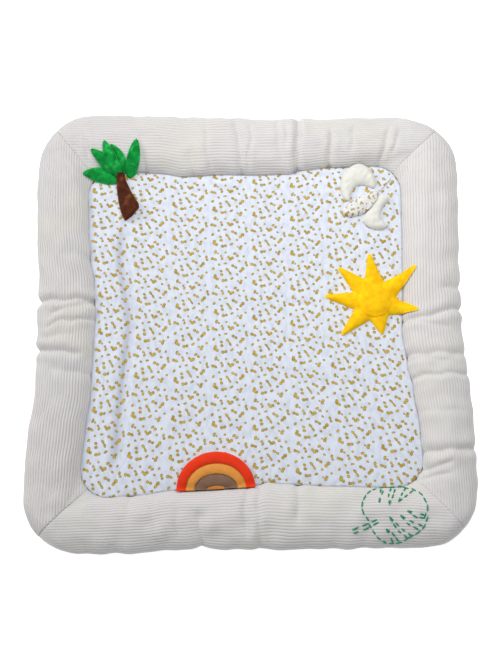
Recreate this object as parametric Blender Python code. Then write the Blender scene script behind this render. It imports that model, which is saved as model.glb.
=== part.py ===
# Padded baby play mat: a filled border of jumbo corduroy round a thin printed pad,
# with a plush palm, a moon toy, a sun and a rainbow sewn on.
# Metres, +Z up, origin at the middle of the underside. Tables are in millimetres.

import math

import bmesh
import bpy
from mathutils import Vector
from mathutils.bvhtree import BVHTree

MM = 0.001

# Plan of the mat as half sizes from its centre, before the sides are drawn in
PAD_HALF_X = 0.356
PAD_HALF_Y = 0.363
MAT_HALF_X = 0.476
MAT_HALF_Y = 0.490
PAD_CORNER = 0.060
MAT_CORNER = 0.130

# Heights
CROWN_RISE = 0.034
ROLL_FULLNESS = 0.9
INNER_SEAM = 0.020
OUTER_SEAM = 0.021
ROLL_UNDER = 0.015
FLAT_START = 0.004
FULL_ROLL = 1.5 * math.pi
ROLL_SAMPLES = 600
NORMAL_STEP = 0.01

# Corduroy
RIB_PITCH = 0.0063
RIB_HEIGHT = 0.0012
RIB_LOSS_AT_CORNER = 0.55
RIB_LOSS_RAMP = 0.3
RIB_FADE = 0.6
LAST_RIB = math.radians(215)
UNDER_ROLL = (math.radians(232), math.radians(252))
SQUARE_RIBS_FROM = 0.22
SQUARE_RIBS_TO = 0.48

# Clearances
PIECE_GAP = 0.0003
PAD_GAP = 0.0005
MITRE_STEP = 0.0003

# Mitre seams are pulled in
MITRE_DIP = 0.0035
MITRE_DIP_REACH = 0.014

# Stations along a side
STATION_PARTS = 3
CREASE_STATION = 0.008
CREASE_RAMP = 0.2
STATION_CLEAR = 0.027
CORNER_STATIONS = (0.30, 0.54, 0.72, 0.87, 1.0)

# How far each side is pushed out (+) or drawn in (-): along, outer seam, pad seam, crown
SIDE_SHAPE = {
    "top": (
        (-290, 9, -2, 0),
        (-200, 8, -7, 1),
        (-145, 6, -15, -1),
        (-60, 3, -10, 1),
        (20, 1, -11, 0),
        (90, 1, -9, 1),
        (125, 1, 1, -1),
        (190, 1, 8, 0),
        (290, 3, 11, 0),
    ),
    "right": (
        (-300, 10, 17, 0),
        (-240, 9, 14, 1),
        (-150, 6, 3, 0),
        (-95, 0, -8, -1),
        (-20, -5, -17, -2),
        (60, -6, -13, -2),
        (130, -6, -11, -1),
        (210, -2, -9, 1),
        (300, 2, -8, 0),
    ),
    "bottom": (
        (-300, 8, 20, 0),
        (-230, 7, 15, 1),
        (-160, 0, 5, 0),
        (-95, -4, 4, -1),
        (-40, -2, 0, 0),
        (8, -1, -5, 0),
        (38, -1, -12, 0),
        (80, 0, -8, 1),
        (165, -2, -4, 0),
        (290, -4, -1, 1),
    ),
    "left": (
        (-300, 4, 7, 1),
        (-225, 1, 0, 0),
        (-150, -9, -8, -1),
        (-80, -9, -9, -2),
        (20, -6, -12, -2),
        (85, -6, -7, -1),
        (150, 0, 4, 0),
        (220, 6, 11, 1),
        (300, 10, 15, 0),
    ),
}

# Creases across the border: along, slant, width, depth, start and end from pad to outside
CREASES = {
    "top": (
        (-23, -14, 10, 5.0, -0.2, 1.0),
        (114, 14, 11, 7.5, -0.2, 1.1),
        (189, 4, 9, 5.0, -0.2, 0.60),
    ),
    "right": (
        (-285, 10, 11, 6.5, -0.2, 1.1),
        (-72, 0, 9, 4.5, -0.2, 0.70),
        (28, 34, 10, 5.0, -0.1, 1.1),
        (98, 0, 10, 5.5, 0.45, 1.2),
    ),
    "bottom": (
        (-101, 8, 10, 5.5, 0.30, 1.2),
        (97, 0, 9, 4.0, -0.2, 0.65),
    ),
    "left": (
        (-68, 5, 10, 6.0, 0.20, 1.2),
        (46, 26, 10, 5.5, 0.0, 1.2),
    ),
}

# Middle pad from its underside over the rim to the centre: inset, height
PAD_PROFILE = (
    (4, 0.0),
    (0, 3.0),
    (0, 15.0),
    (2.5, 19.5),
    (9, 24.0),
    (26, 27.8),
    (64, 29.6),
    (78, 29.9),
    (92, 30.1),
    (325, 31.2),
)
PAD_FOLD_INSET = 78
PAD_FOLD_WIDTH = 11
PAD_FOLD_DEPTH = 4.0
PAD_FOLD_FROM = -330
PAD_FOLD_TO = 240
PAD_FOLD_RAMP = 60
PAD_RIM = 20

# Plush pieces given by both edges, a row for each section: left x, left y, right x, right y
TRUNK = (
    (-299, 343, -282, 344),
    (-302, 330, -277, 331),
    (-302, 314, -265, 315),
    (-299, 296, -257, 298),
    (-296, 279, -253, 282),
    (-292, 262, -251, 267),
    (-287, 246, -255, 254),
    (-281, 234, -275, 236),
)
MOON_UPPER = (
    (218, 286, 230, 284),
    (211, 302, 231, 296),
    (208, 322, 235, 308),
    (213, 346, 240, 317),
    (228, 366, 247, 322),
    (250, 375, 255, 324),
    (270, 370, 263, 324),
    (284, 353, 271, 321),
    (290, 333, 278, 318),
    (288, 319, 283, 316),
)
MOON_LOWER = (
    (317, 293, 320, 289),
    (304, 297, 313, 282),
    (289, 292, 306, 273),
    (275, 273, 301, 264),
    (262, 253, 299, 255),
    (256, 238, 299, 247),
    (267, 224, 301, 240),
    (284, 216, 305, 235),
    (300, 216, 310, 231),
    (312, 222, 315, 226),
)

# Plush pieces given by their middle line: x, y, half width
MOON_TIE = (
    (212, 259, 7),
    (223, 259, 13),
    (239, 266, 18.5),
    (257, 277, 20),
    (273, 289, 16),
    (285, 300, 9.5),
    (293, 306, 4),
)
MOON_STRAP = (
    (296, 310, 3),
    (304, 321, 3.2),
    (313, 332, 3.5),
    (322, 343, 4),
)

# Thickness of each piece, and the share of it that its edge keeps
TRUNK_SIZE = (17, 0.12)
MOON_SIZE = (15, 0.12)
TIE_SIZE = (15, 0.12)
STRAP_SIZE = (2.2, 0.6)
LEAF_EDGE = 0.12
BAND_EDGE = 0.62

# Leaves of the palm: foot x, foot y, tip x, tip y, half width, bow, thickness
LEAVES = (
    ("palm_leaf_1", -287, 352, -322, 418, 12, 8, 9),
    ("palm_leaf_2", -302, 331, -381, 348, 18, 8, 14),
    ("palm_leaf_3", -305, 349, -363, 402, 15, 3, 13),
    ("palm_leaf_4", -277, 342, -259, 427, 17, 3, 14),
    ("palm_leaf_5", -295, 340, -333, 423, 16, -3, 15),
)
LEAF_SECTIONS = 8
LEAF_FOOT = 0.42

# Sun: ray bearing in degrees, ray reach, bearing of the valley after it, valley reach
SUN_X = 276
SUN_Y = 47
SUN_RAYS = (
    (-13.3, 98, 12.4, 51),
    (40.3, 123, 62.4, 52),
    (93.6, 113, 109, 55),
    (133.9, 111, 154, 50),
    (173.1, 110, 202.7, 47),
    (226.2, 106, 256.6, 43),
    (283.1, 77, 317, 44),
)
RAY_TIP_RADIUS = 4.0
SUN_RINGS = (1.0, 0.9, 0.78, 0.64, 0.49, 0.33, 0.16)
SUN_THICKNESS = 17
FACE_RADIUS = 35
FACE_THICKNESS = 9
FACE_POINTS = 24
FACE_RINGS = (1.0, 0.86, 0.62, 0.34)

# Rainbow: node, half width, rise of the arc that ends each band outside
RAINBOW_X = -71
RAINBOW_Y = -361.5
RAINBOW_TURN = 3.2
RAINBOW = (
    ("rainbow_red", 84, 78, 13, (0.82, 0.07, 0.03)),
    ("rainbow_amber", 62.5, 53, 12, (0.83, 0.42, 0.08)),
    ("rainbow_brown", 45, 32, 11, (0.17, 0.09, 0.075)),
    ("rainbow_core", 19.5, 9, 10, (0.76, 0.36, 0.08)),
)
BAND_SECTIONS = 14

# Cloth colours
CORDUROY = (0.74, 0.70, 0.66)
MUSLIN = (0.86, 0.87, 0.90)
LEAF_GREEN = (0.01, 0.36, 0.05)
TRUNK_BROWN = (0.16, 0.035, 0.015)
CREAM = (0.84, 0.80, 0.68)
SUN_YELLOW = (0.95, 0.52, 0.01)
CLOTH_ROUGHNESS = 0.9

# Laying pieces on what is under them
FEEL_SHARES = (0.0, 0.35, 0.7, 1.0)
FEEL_POINTS = 8
FEEL_PLUSH = 0.0075
FEEL_BAND = 0.004
SMOOTH_RADIUS = 0.022
DROP_FROM = 0.5


def clear_scene():
    for obj in list(bpy.data.objects):
        bpy.data.objects.remove(obj)


def cloth(name, colour):
    material = bpy.data.materials.new(name)
    material.use_nodes = True
    shader = material.node_tree.nodes["Principled BSDF"]
    shader.inputs["Base Color"].default_value = (*colour, 1.0)
    shader.inputs["Roughness"].default_value = CLOTH_ROUGHNESS
    shader.inputs["Metallic"].default_value = 0.0
    return material


def ease(value):
    value = min(1.0, max(0.0, value))
    return value * value * (3.0 - 2.0 * value)


def read_table(table, column, along):
    """Value of a column at a place along the side, eased between the rows."""
    if along <= table[0][0]:
        return table[0][column]
    for low, high in zip(table, table[1:]):
        if along <= high[0]:
            share = ease((along - low[0]) / (high[0] - low[0]))
            return low[column] + share * (high[column] - low[column])
    return table[-1][column]


def push_across(side, along, out, pad_half, mat_half):
    """Outward shift of a point of a side, nothing at the centre of the mat."""
    table = SIDE_SHAPE[side]
    inner = read_table(table, 2, along / MM) * MM
    outer = read_table(table, 1, along / MM) * MM
    if out <= pad_half:
        return inner * out / pad_half
    return inner + (outer - inner) * (out - pad_half) / (mat_half - pad_half)


def draw_in(x, y):
    """Move a point of the plain rounded square to its place on the uneven mat."""
    x_side = "right" if x > 0 else "left"
    y_side = "top" if y > 0 else "bottom"
    shift_x = push_across(x_side, y, abs(x), PAD_HALF_X, MAT_HALF_X)
    shift_y = push_across(y_side, x, abs(y), PAD_HALF_Y, MAT_HALF_Y)
    return x + shift_x * math.copysign(1.0, x), y + shift_y * math.copysign(1.0, y)


def side_frame(side):
    """Directions and half sizes of a side: out, along, then seam places."""
    if side in ("top", "bottom"):
        sign = 1.0 if side == "top" else -1.0
        return Vector((0, sign)), Vector((1, 0)), PAD_HALF_Y, MAT_HALF_Y, PAD_HALF_X, MAT_HALF_X
    sign = 1.0 if side == "right" else -1.0
    return Vector((sign, 0)), Vector((0, 1)), PAD_HALF_X, MAT_HALF_X, PAD_HALF_Y, MAT_HALF_Y


def roll_point(angle, width, crown):
    """Section of the border roll: distance out of the pad seam and height."""
    if angle <= math.pi:
        out = width * (1.0 - math.cos(angle)) / 2.0
        rise = max(0.0, math.sin(angle)) ** ROLL_FULLNESS
        base = INNER_SEAM + (OUTER_SEAM - INNER_SEAM) * out / width
        return out, base + (CROWN_RISE + crown) * rise
    turn = angle - math.pi
    out = width - ROLL_UNDER * (1.0 - math.cos(turn))
    return out, OUTER_SEAM * (1.0 - math.sin(turn))


def rib_angles(width):
    """Angles of grooves and crests, half a rib apart along the section."""
    fine = [FULL_ROLL * i / ROLL_SAMPLES for i in range(ROLL_SAMPLES + 1)]
    points = [roll_point(angle, width, 0.0) for angle in fine]
    lengths = [0.0]
    for before, after in zip(points, points[1:]):
        lengths.append(lengths[-1] + math.dist(before, after))
    ribs = round(lengths[-1] / RIB_PITCH)
    angles = []
    for step in range(1, 2 * ribs):
        goal = lengths[-1] * step / (2 * ribs)
        index = next(i for i, length in enumerate(lengths) if length >= goal)
        if fine[index] < LAST_RIB:
            angles.append(fine[index])
    return angles + list(UNDER_ROLL)


def section_normal(angle, width, crown):
    before = roll_point(max(angle - NORMAL_STEP, 0.0), width, crown)
    after = roll_point(min(angle + NORMAL_STEP, FULL_ROLL), width, crown)
    run = Vector((after[0] - before[0], after[1] - before[1])).normalized()
    return Vector((-run.y, run.x))


def corner_radius(share):
    """Radius at which a row turns into the mitre: square in the middle of the roll."""
    if share < SQUARE_RIBS_FROM:
        return PAD_CORNER * (1.0 - share / SQUARE_RIBS_FROM)
    if share > SQUARE_RIBS_TO:
        return MAT_CORNER * (share - SQUARE_RIBS_TO) / (1.0 - SQUARE_RIBS_TO)
    return 0.0


def side_stations(side, straight_half):
    """Places along the straight part of a side: along, slant, end share."""
    creases = [(row[0] * MM, row[1] * MM) for row in CREASES[side]]
    stations = []
    for step in range(1 - STATION_PARTS, STATION_PARTS):
        along = straight_half * step / STATION_PARTS
        if all(abs(along - crease[0]) > STATION_CLEAR for crease in creases):
            stations.append((along, 0.0, 0.0))
    for along, slant in creases:
        for shift in (-CREASE_STATION, 0.0, CREASE_STATION):
            stations.append((along + shift, slant, 0.0))
    for share in (0.0,) + CORNER_STATIONS:
        stations.append((straight_half, 0.0, share))
        stations.append((-straight_half, 0.0, share))
    return sorted(stations, key=lambda row: row[0] + math.copysign(row[2], row[0]))


def place_on_row(station, share, along_pad, along_mat, straight_half):
    """Plan place of a station on a row: along, step back from the row's line, turn."""
    along, slant, end_share = station
    if end_share == 0.0:
        return along + slant * (share - 0.5), 0.0, 0.0
    radius = corner_radius(share)
    row_half = along_pad + share * (along_mat - along_pad)
    straight = row_half - radius - straight_half
    arc = radius * math.pi / 4.0
    reach = end_share * (straight + arc)
    if reach <= straight:
        where, back, turn = straight_half + reach, 0.0, 0.0
    else:
        turn = (reach - straight) / radius
        where = row_half - radius + radius * math.sin(turn)
        back = radius * (1.0 - math.cos(turn))
    if end_share == 1.0:
        where -= MITRE_STEP
    return math.copysign(where, along), back, math.copysign(turn, along)


def crease_depth(side, along, share):
    depth = 0.0
    for place, slant, width, deep, start, end in CREASES[side]:
        distance = along / MM - place - slant * (share - 0.5)
        window = ease((share - start) / CREASE_RAMP) * ease((end - share) / CREASE_RAMP)
        depth += deep * window * math.exp(-((distance / width) ** 2))
    return depth * MM


def border_side(side, material):
    out, along, pad_half, mat_half, along_pad, along_mat = side_frame(side)
    width = mat_half - pad_half
    straight_half = along_pad - PAD_CORNER
    stations = side_stations(side, straight_half)
    angles = rib_angles(width)
    mesh = bmesh.new()
    loops = []
    for station in stations:
        end_share = station[2]
        loop = []

        def add(share, outward, height):
            """A point at a height, outward of its row's own line by a small step."""
            where, back, turn = place_on_row(station, share, along_pad, along_mat, straight_half)
            sideways = math.cos(turn) if end_share == 1.0 else abs(math.sin(turn))
            where += outward * sideways * math.copysign(1.0, where)
            reach = pad_half + share * width - back + outward * math.cos(turn)
            plan = out * reach + along * where
            loop.append(mesh.verts.new((*draw_in(plan.x, plan.y), max(0.0, height))))

        add(0.0, FLAT_START, 0.0)
        add(0.0, 0.0, FLAT_START)
        add(0.0, 0.0, INNER_SEAM)
        for index, angle in enumerate(angles):
            share = 1.0
            if angle < math.pi:
                share = roll_point(angle, width, 0.0)[0] / width
            where = place_on_row(station, share, along_pad, along_mat, straight_half)[0]
            crown = read_table(SIDE_SHAPE[side], 3, where / MM) * MM
            out_place, height = roll_point(angle, width, crown)
            normal = section_normal(angle, width, crown)
            outer = ease((share - SQUARE_RIBS_TO) / RIB_LOSS_RAMP)
            loss = 1.0 - RIB_LOSS_AT_CORNER * end_share * outer
            rib = RIB_HEIGHT * loss * (-0.5 if index % 2 else 0.5)
            from_seam = (1.0 - end_share) * MAT_CORNER if end_share > 0.0 else MAT_CORNER
            dip = MITRE_DIP * math.exp(-from_seam / MITRE_DIP_REACH)
            fade = ease((UNDER_ROLL[-1] - angle) / RIB_FADE)
            push = (rib - dip - crease_depth(side, where, share)) * fade
            outward = out_place - share * width + push * normal.x
            add(share, outward, height + push * normal.y)
        add(1.0, -ROLL_UNDER, 0.0)
        add(0.5, 0.0, 0.0)
        loops.append(loop)
    join_loops(mesh, loops)
    mesh.faces.new(loops[0])
    mesh.faces.new(loops[-1])
    return finish_mesh(mesh, "border_" + side, material)


def rim_spots():
    """Places round the pad's rim, shared with the border: side, share of the straight, turn."""
    spots = []
    for side, backwards in (("right", False), ("top", True), ("left", True), ("bottom", False)):
        along_pad = side_frame(side)[4]
        straight_half = along_pad - PAD_CORNER
        stations = side_stations(side, straight_half)
        if backwards:
            stations.reverse()
        for along, slant, end_share in stations[1:]:
            share = (along - slant / 2.0) / straight_half
            turn = math.copysign(end_share * math.pi / 4.0, along)
            spots.append((side, share, turn))
    return spots


def rounded_loop(spots, inset):
    """Plan points of the pad's outline at an inset, in order round it."""
    radius = (PAD_CORNER - PAD_GAP) * (1.0 - inset / PAD_HALF_Y)
    points = []
    for side, share, turn in spots:
        out, along, pad_half, mat_half, along_pad, along_mat = side_frame(side)
        straight = along_pad - PAD_GAP - inset - radius
        reach = pad_half - PAD_GAP - inset - radius * (1.0 - math.cos(turn))
        where = share * straight + radius * math.sin(turn)
        points.append(out * reach + along * where)
    return points


def middle_pad(material):
    mesh = bmesh.new()
    spots = rim_spots()
    loops = []
    for inset, height in PAD_PROFILE:
        loop = []
        for point in rounded_loop(spots, inset * MM):
            fold = (point.x + PAD_HALF_X) / MM - PAD_FOLD_INSET
            span = ease((point.y / MM - PAD_FOLD_FROM) / PAD_FOLD_RAMP)
            span *= ease((PAD_FOLD_TO - point.y / MM) / PAD_FOLD_RAMP)
            lowered = PAD_FOLD_DEPTH * span * math.exp(-((fold / PAD_FOLD_WIDTH) ** 2))
            if inset <= PAD_RIM:
                lowered = 0.0
            place = draw_in(point.x, point.y)
            loop.append(mesh.verts.new((*place, (height - lowered) * MM)))
        loops.append(loop)
    join_loops(mesh, loops)
    mesh.faces.new(loops[0])
    mesh.faces.new(loops[-1])
    return finish_mesh(mesh, "middle_pad", material)


def join_loops(mesh, loops):
    for before, after in zip(loops, loops[1:]):
        for i in range(len(before)):
            j = (i + 1) % len(before)
            mesh.faces.new((before[i], before[j], after[j], after[i]))


def finish_mesh(mesh, name, material):
    bmesh.ops.recalc_face_normals(mesh, faces=mesh.faces)
    bmesh.ops.triangulate(mesh, faces=mesh.faces)
    data = bpy.data.meshes.new(name)
    mesh.to_mesh(data)
    mesh.free()
    obj = bpy.data.objects.new(name, data)
    bpy.context.scene.collection.objects.link(obj)
    data.materials.append(material)
    data.shade_smooth()
    data.set_sharp_from_angle(angle=math.radians(30))
    return obj


class Bed:
    """Height of what lies under a piece, felt a little way round each point."""

    def __init__(self, pieces):
        self.trees = [self.tree_of(piece) for piece in pieces]

    def tree_of(self, piece):
        points = [vertex.co.copy() for vertex in piece.data.vertices]
        faces = [tuple(face.vertices) for face in piece.data.polygons]
        return BVHTree.FromPolygons(points, faces)

    def add(self, piece):
        self.trees.append(self.tree_of(piece))

    def drop(self, x, y):
        height = 0.0
        for tree in self.trees:
            hit = tree.ray_cast(Vector((x, y, DROP_FROM)), Vector((0, 0, -1)))
            if hit[0] is not None:
                height = max(height, hit[0].z)
        return height

    def top(self, x, y, feel):
        highest = 0.0
        for share in FEEL_SHARES:
            for step in range(FEEL_POINTS if share else 1):
                angle = 2.0 * math.pi * step / FEEL_POINTS
                radius = feel * share
                around = (x + radius * math.cos(angle), y + radius * math.sin(angle))
                highest = max(highest, self.drop(*around))
        return highest + PIECE_GAP

    def smooth(self, x, y):
        total = 0.0
        for step in range(FEEL_POINTS):
            angle = 2.0 * math.pi * step / FEEL_POINTS
            around = (x + SMOOTH_RADIUS * math.cos(angle), y + SMOOTH_RADIUS * math.sin(angle))
            total += self.drop(*around)
        return total / FEEL_POINTS


# Section of a filled strip: places across its underside, then share across and of thickness
UNDER = (-0.72, -0.25, 0.25, 0.72)
OVER = ((0.86, 0.62), (0.5, 0.92), (0.0, 1.0), (-0.5, 0.92), (-0.86, 0.62))
LEAST_EDGE = 0.0012
SINK = 0.004
SWELL_POWER = 0.6


def filled_strip(name, lefts, rights, swell, size, bed, material, feel=FEEL_PLUSH):
    """A sewn and filled strip between two plan edges, laid on the bed."""
    mesh = bmesh.new()
    loops = []
    for left, right, fullness in zip(lefts, rights, swell):
        middle = (Vector(left) + Vector(right)) / 2.0
        half = (Vector(right) - Vector(left)) / 2.0
        soft = bed.smooth(middle.x, middle.y)
        thickness = size[0] * MM * fullness
        edge = max(LEAST_EDGE, size[1] * thickness)
        loop = []

        def add(across, share, lift):
            place = middle + half * across
            under = bed.top(place.x, place.y, feel)
            height = under + lift
            if share > 0.0:
                raised = max(soft, under - SINK) + edge + (thickness - edge) * share
                height = max(under + lift + LEAST_EDGE, raised)
            loop.append(mesh.verts.new((place.x, place.y, height)))

        for across in UNDER:
            add(across, 0.0, 0.0)
        add(1.0, 0.0, edge)
        for across, share in OVER:
            add(across, share, edge)
        add(-1.0, 0.0, edge)
        loops.append(loop)
    join_loops(mesh, loops)
    mesh.faces.new(loops[0])
    mesh.faces.new(loops[-1])
    return finish_mesh(mesh, name, material)


def swell_of(widths):
    widest = max(widths)
    return [(width / widest) ** SWELL_POWER for width in widths]


def paired_piece(name, rows, size, bed, material):
    """A filled strip from a table of its two edges."""
    lefts = [Vector((row[0], row[1])) * MM for row in rows]
    rights = [Vector((row[2], row[3])) * MM for row in rows]
    widths = [(right - left).length for left, right in zip(lefts, rights)]
    return filled_strip(name, lefts, rights, swell_of(widths), size, bed, material)


def edges_of(rows):
    """Left and right plan edges of a strip given by its middle line and half widths."""
    points = [Vector((row[0], row[1])) * MM for row in rows]
    lefts = []
    rights = []
    for index, row in enumerate(rows):
        before = points[max(index - 1, 0)]
        after = points[min(index + 1, len(points) - 1)]
        run = (after - before).normalized()
        across = Vector((run.y, -run.x)) * row[2] * MM
        lefts.append(points[index] - across)
        rights.append(points[index] + across)
    return lefts, rights


def line_piece(name, rows, size, bed, material):
    """A filled strip from a table of its middle line and half widths."""
    lefts, rights = edges_of(rows)
    swell = swell_of([row[2] for row in rows])
    return filled_strip(name, lefts, rights, swell, size, bed, material)


def leaf_rows(foot_x, foot_y, tip_x, tip_y, half, bow):
    """Sections of a leaf: widest past its foot, bowed to one side, pointed at its tip."""
    run = Vector((tip_x - foot_x, tip_y - foot_y))
    across = Vector((run.y, -run.x)).normalized()
    rows = []
    for step in range(LEAF_SECTIONS):
        share = step / (LEAF_SECTIONS - 1)
        lens = math.sin(math.pi * share ** 0.8) ** 0.75
        width = half * max(lens, LEAF_FOOT * (1.0 - share) ** 2, 0.12)
        place = Vector((foot_x, foot_y)) + run * share + across * bow * math.sin(math.pi * share)
        rows.append((place.x, place.y, width))
    return rows


def tip_arc(centre, bearing, reach):
    """Three points round the tip of a ray."""
    points = []
    for turn in (-70.0, 0.0, 70.0):
        base = Vector((math.cos(bearing), math.sin(bearing))) * (reach - RAY_TIP_RADIUS)
        angle = bearing + math.radians(turn)
        round_off = Vector((math.cos(angle), math.sin(angle))) * RAY_TIP_RADIUS
        points.append(centre + (base + round_off) * MM)
    return points


def sun_outline():
    centre = Vector((SUN_X, SUN_Y)) * MM
    points = []
    for bearing, reach, valley_bearing, valley_reach in SUN_RAYS:
        tip = tip_arc(centre, math.radians(bearing), reach)
        angle = math.radians(valley_bearing)
        valley = centre + Vector((math.cos(angle), math.sin(angle))) * valley_reach * MM
        if points:
            points.append((points[-1] + tip[0]) / 2.0)
        points += tip
        points.append((tip[-1] + valley) / 2.0)
        points.append(valley)
    points.append((points[-1] + points[0]) / 2.0)
    return points


def round_outline(centre, radius, count):
    points = []
    for step in range(count):
        angle = 2.0 * math.pi * step / count
        points.append(centre + Vector((math.cos(angle), math.sin(angle))) * radius)
    return points


def filled_disc(name, outline, rings, thickness, bed, material):
    """A filled piece between scaled copies of its outline, laid on the bed."""
    centre = sum(outline, Vector((0.0, 0.0))) / len(outline)
    if name == "sun_star":
        centre = Vector((SUN_X, SUN_Y)) * MM
    soft = bed.smooth(centre.x, centre.y)
    mesh = bmesh.new()
    loops = []
    for ring in reversed(rings[1:]):
        loop = []
        for point in outline:
            place = centre + (point - centre) * ring
            loop.append(mesh.verts.new((*place, bed.top(*place, FEEL_PLUSH))))
        loops.append(loop)
    rim = []
    for place in outline:
        rim.append(mesh.verts.new((*place, bed.top(*place, FEEL_PLUSH) + LEAST_EDGE)))
    loops.append(rim)
    for ring in rings[1:]:
        loop = []
        fullness = (1.0 - ring ** 2.4) ** 0.62
        for point in outline:
            place = centre + (point - centre) * ring
            under = bed.top(*place, FEEL_PLUSH)
            lying = max(under - SINK, bed.smooth(*place), soft * (1.0 - ring))
            raised = lying + thickness * MM * fullness
            loop.append(mesh.verts.new((*place, max(under + 2.0 * LEAST_EDGE, raised))))
        loops.append(loop)
    join_loops(mesh, loops)
    mesh.faces.new(loops[0])
    mesh.faces.new(loops[-1])
    return finish_mesh(mesh, name, material)


def turned(x, y):
    """A point of the rainbow, given from the middle of its base."""
    angle = math.radians(RAINBOW_TURN)
    across = x * math.cos(angle) - y * math.sin(angle)
    rise = x * math.sin(angle) + y * math.cos(angle)
    return Vector((RAINBOW_X + across, RAINBOW_Y + rise)) * MM


def arc_points(half_width, rise):
    points = []
    for step in range(BAND_SECTIONS):
        angle = math.pi * step / (BAND_SECTIONS - 1)
        points.append(turned(half_width * math.cos(angle), rise * math.sin(angle)))
    return points


def rainbow_band(row, inner_row, bed):
    name, half_width, rise, thickness, colour = row
    outer = arc_points(half_width, rise)
    seam = PIECE_GAP / MM
    inner = arc_points(inner_row[1] + seam, inner_row[2] + seam)
    swell = [1.0] * BAND_SECTIONS
    size = (thickness, BAND_EDGE)
    return filled_strip(name, outer, inner, swell, size, bed, cloth(name, colour), FEEL_BAND)


def rainbow_core(row, bed):
    name, half_width, rise, thickness, colour = row
    shares = (-0.96, -0.8, -0.5, -0.2, 0.2, 0.5, 0.8, 0.96)
    tops = [turned(share * half_width, rise * math.sqrt(1.0 - share * share)) for share in shares]
    bases = [turned(share * half_width, 0.0) for share in shares]
    swell = [0.5 + 0.5 * math.sqrt(1.0 - share * share) for share in shares]
    size = (thickness, BAND_EDGE)
    return filled_strip(name, bases, tops, swell, size, bed, cloth(name, colour), FEEL_BAND)


def build():
    clear_scene()
    corduroy = cloth("corduroy", CORDUROY)
    muslin = cloth("printed_muslin", MUSLIN)
    green = cloth("leaf_plush", LEAF_GREEN)
    cream = cloth("cream_velour", CREAM)
    yellow = cloth("sun_plush", SUN_YELLOW)

    ground = [border_side(side, corduroy) for side in SIDE_SHAPE]
    ground.append(middle_pad(muslin))
    bed = Bed(ground)

    for name, foot_x, foot_y, tip_x, tip_y, half, bow, thickness in LEAVES:
        rows = leaf_rows(foot_x, foot_y, tip_x, tip_y, half, bow)
        bed.add(line_piece(name, rows, (thickness, LEAF_EDGE), bed, green))
    trunk_brown = cloth("trunk_plush", TRUNK_BROWN)
    bed.add(paired_piece("palm_trunk", TRUNK, TRUNK_SIZE, bed, trunk_brown))

    bed.add(paired_piece("moon_upper", MOON_UPPER, MOON_SIZE, bed, cream))
    bed.add(paired_piece("moon_lower", MOON_LOWER, MOON_SIZE, bed, cream))
    bed.add(line_piece("moon_tie", MOON_TIE, TIE_SIZE, bed, muslin))
    bed.add(line_piece("moon_strap", MOON_STRAP, STRAP_SIZE, bed, muslin))

    star = filled_disc("sun_star", sun_outline(), SUN_RINGS, SUN_THICKNESS, bed, yellow)
    bed.add(star)
    face_outline = round_outline(Vector((SUN_X, SUN_Y)) * MM, FACE_RADIUS * MM, FACE_POINTS)
    filled_disc("sun_face", face_outline, FACE_RINGS, FACE_THICKNESS, bed, yellow)

    for row, inner_row in zip(RAINBOW, RAINBOW[1:]):
        rainbow_band(row, inner_row, bed)
    rainbow_core(RAINBOW[-1], bed)


build()
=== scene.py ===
import math

import bpy
import numpy as np
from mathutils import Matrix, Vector
from mathutils.bvhtree import BVHTree


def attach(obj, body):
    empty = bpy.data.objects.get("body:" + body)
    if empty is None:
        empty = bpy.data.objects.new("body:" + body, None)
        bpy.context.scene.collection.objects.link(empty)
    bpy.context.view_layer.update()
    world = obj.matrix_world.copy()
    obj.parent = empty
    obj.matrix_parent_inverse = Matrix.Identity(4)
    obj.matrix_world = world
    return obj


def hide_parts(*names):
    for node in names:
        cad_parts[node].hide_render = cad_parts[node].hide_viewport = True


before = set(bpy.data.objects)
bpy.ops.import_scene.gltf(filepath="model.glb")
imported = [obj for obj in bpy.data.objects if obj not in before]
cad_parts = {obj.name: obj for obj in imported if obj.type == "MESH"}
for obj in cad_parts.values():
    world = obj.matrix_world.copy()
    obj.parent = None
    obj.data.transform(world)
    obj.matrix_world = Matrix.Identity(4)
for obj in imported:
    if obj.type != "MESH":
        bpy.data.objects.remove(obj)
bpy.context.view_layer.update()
mm = 0.001
scene = bpy.context.scene

# ---- camera, light and floor
cameraLook = {"target": (0.001, -0.025, 0.02), "distance": 2.06, "tilt": 13.3, "lens": 50.0}
lightLook = {
    "skyColour": (0.93, 0.96, 1.0),
    "sky": 0.36,
    # lamp, power, place, size
    "lamps": (
        ("window", 124.0, (-4.1, 2.0, 3.1), 2.4),
        ("panel", 13.6, (0.22, 0.52, 1.35), 1.0),
    ),
    "floor": (0.93, 0.93, 0.93),
    "floorGlow": 0.62,
    "floorHalf": 30.0,
}


def addCamera(look):
    tilt = math.radians(look["tilt"])
    data = bpy.data.cameras.new("matCamera")
    data.lens = look["lens"]
    camera = bpy.data.objects.new("matCamera", data)
    back = Vector((0.0, -math.sin(tilt), math.cos(tilt)))
    camera.location = Vector(look["target"]) + back * look["distance"]
    camera.rotation_euler = (tilt, 0.0, 0.0)
    scene.collection.objects.link(camera)
    scene.camera = camera


def addLight(look):
    world = bpy.data.worlds.new("softRoom")
    world.use_nodes = True
    sky = world.node_tree.nodes["Background"]
    sky.inputs["Color"].default_value = (*look["skyColour"], 1.0)
    sky.inputs["Strength"].default_value = look["sky"]
    scene.world = world
    for name, power, place, size in look["lamps"]:
        data = bpy.data.lights.new(name, "AREA")
        data.energy = power
        data.size = size
        lamp = bpy.data.objects.new(name, data)
        lamp.location = place
        lamp.rotation_euler = (-Vector(place)).to_track_quat("-Z", "Y").to_euler()
        scene.collection.objects.link(lamp)


addCamera(cameraLook)
addLight(lightLook)
scene.view_settings.view_transform = "Standard"
print("camera and light are set")


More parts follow.
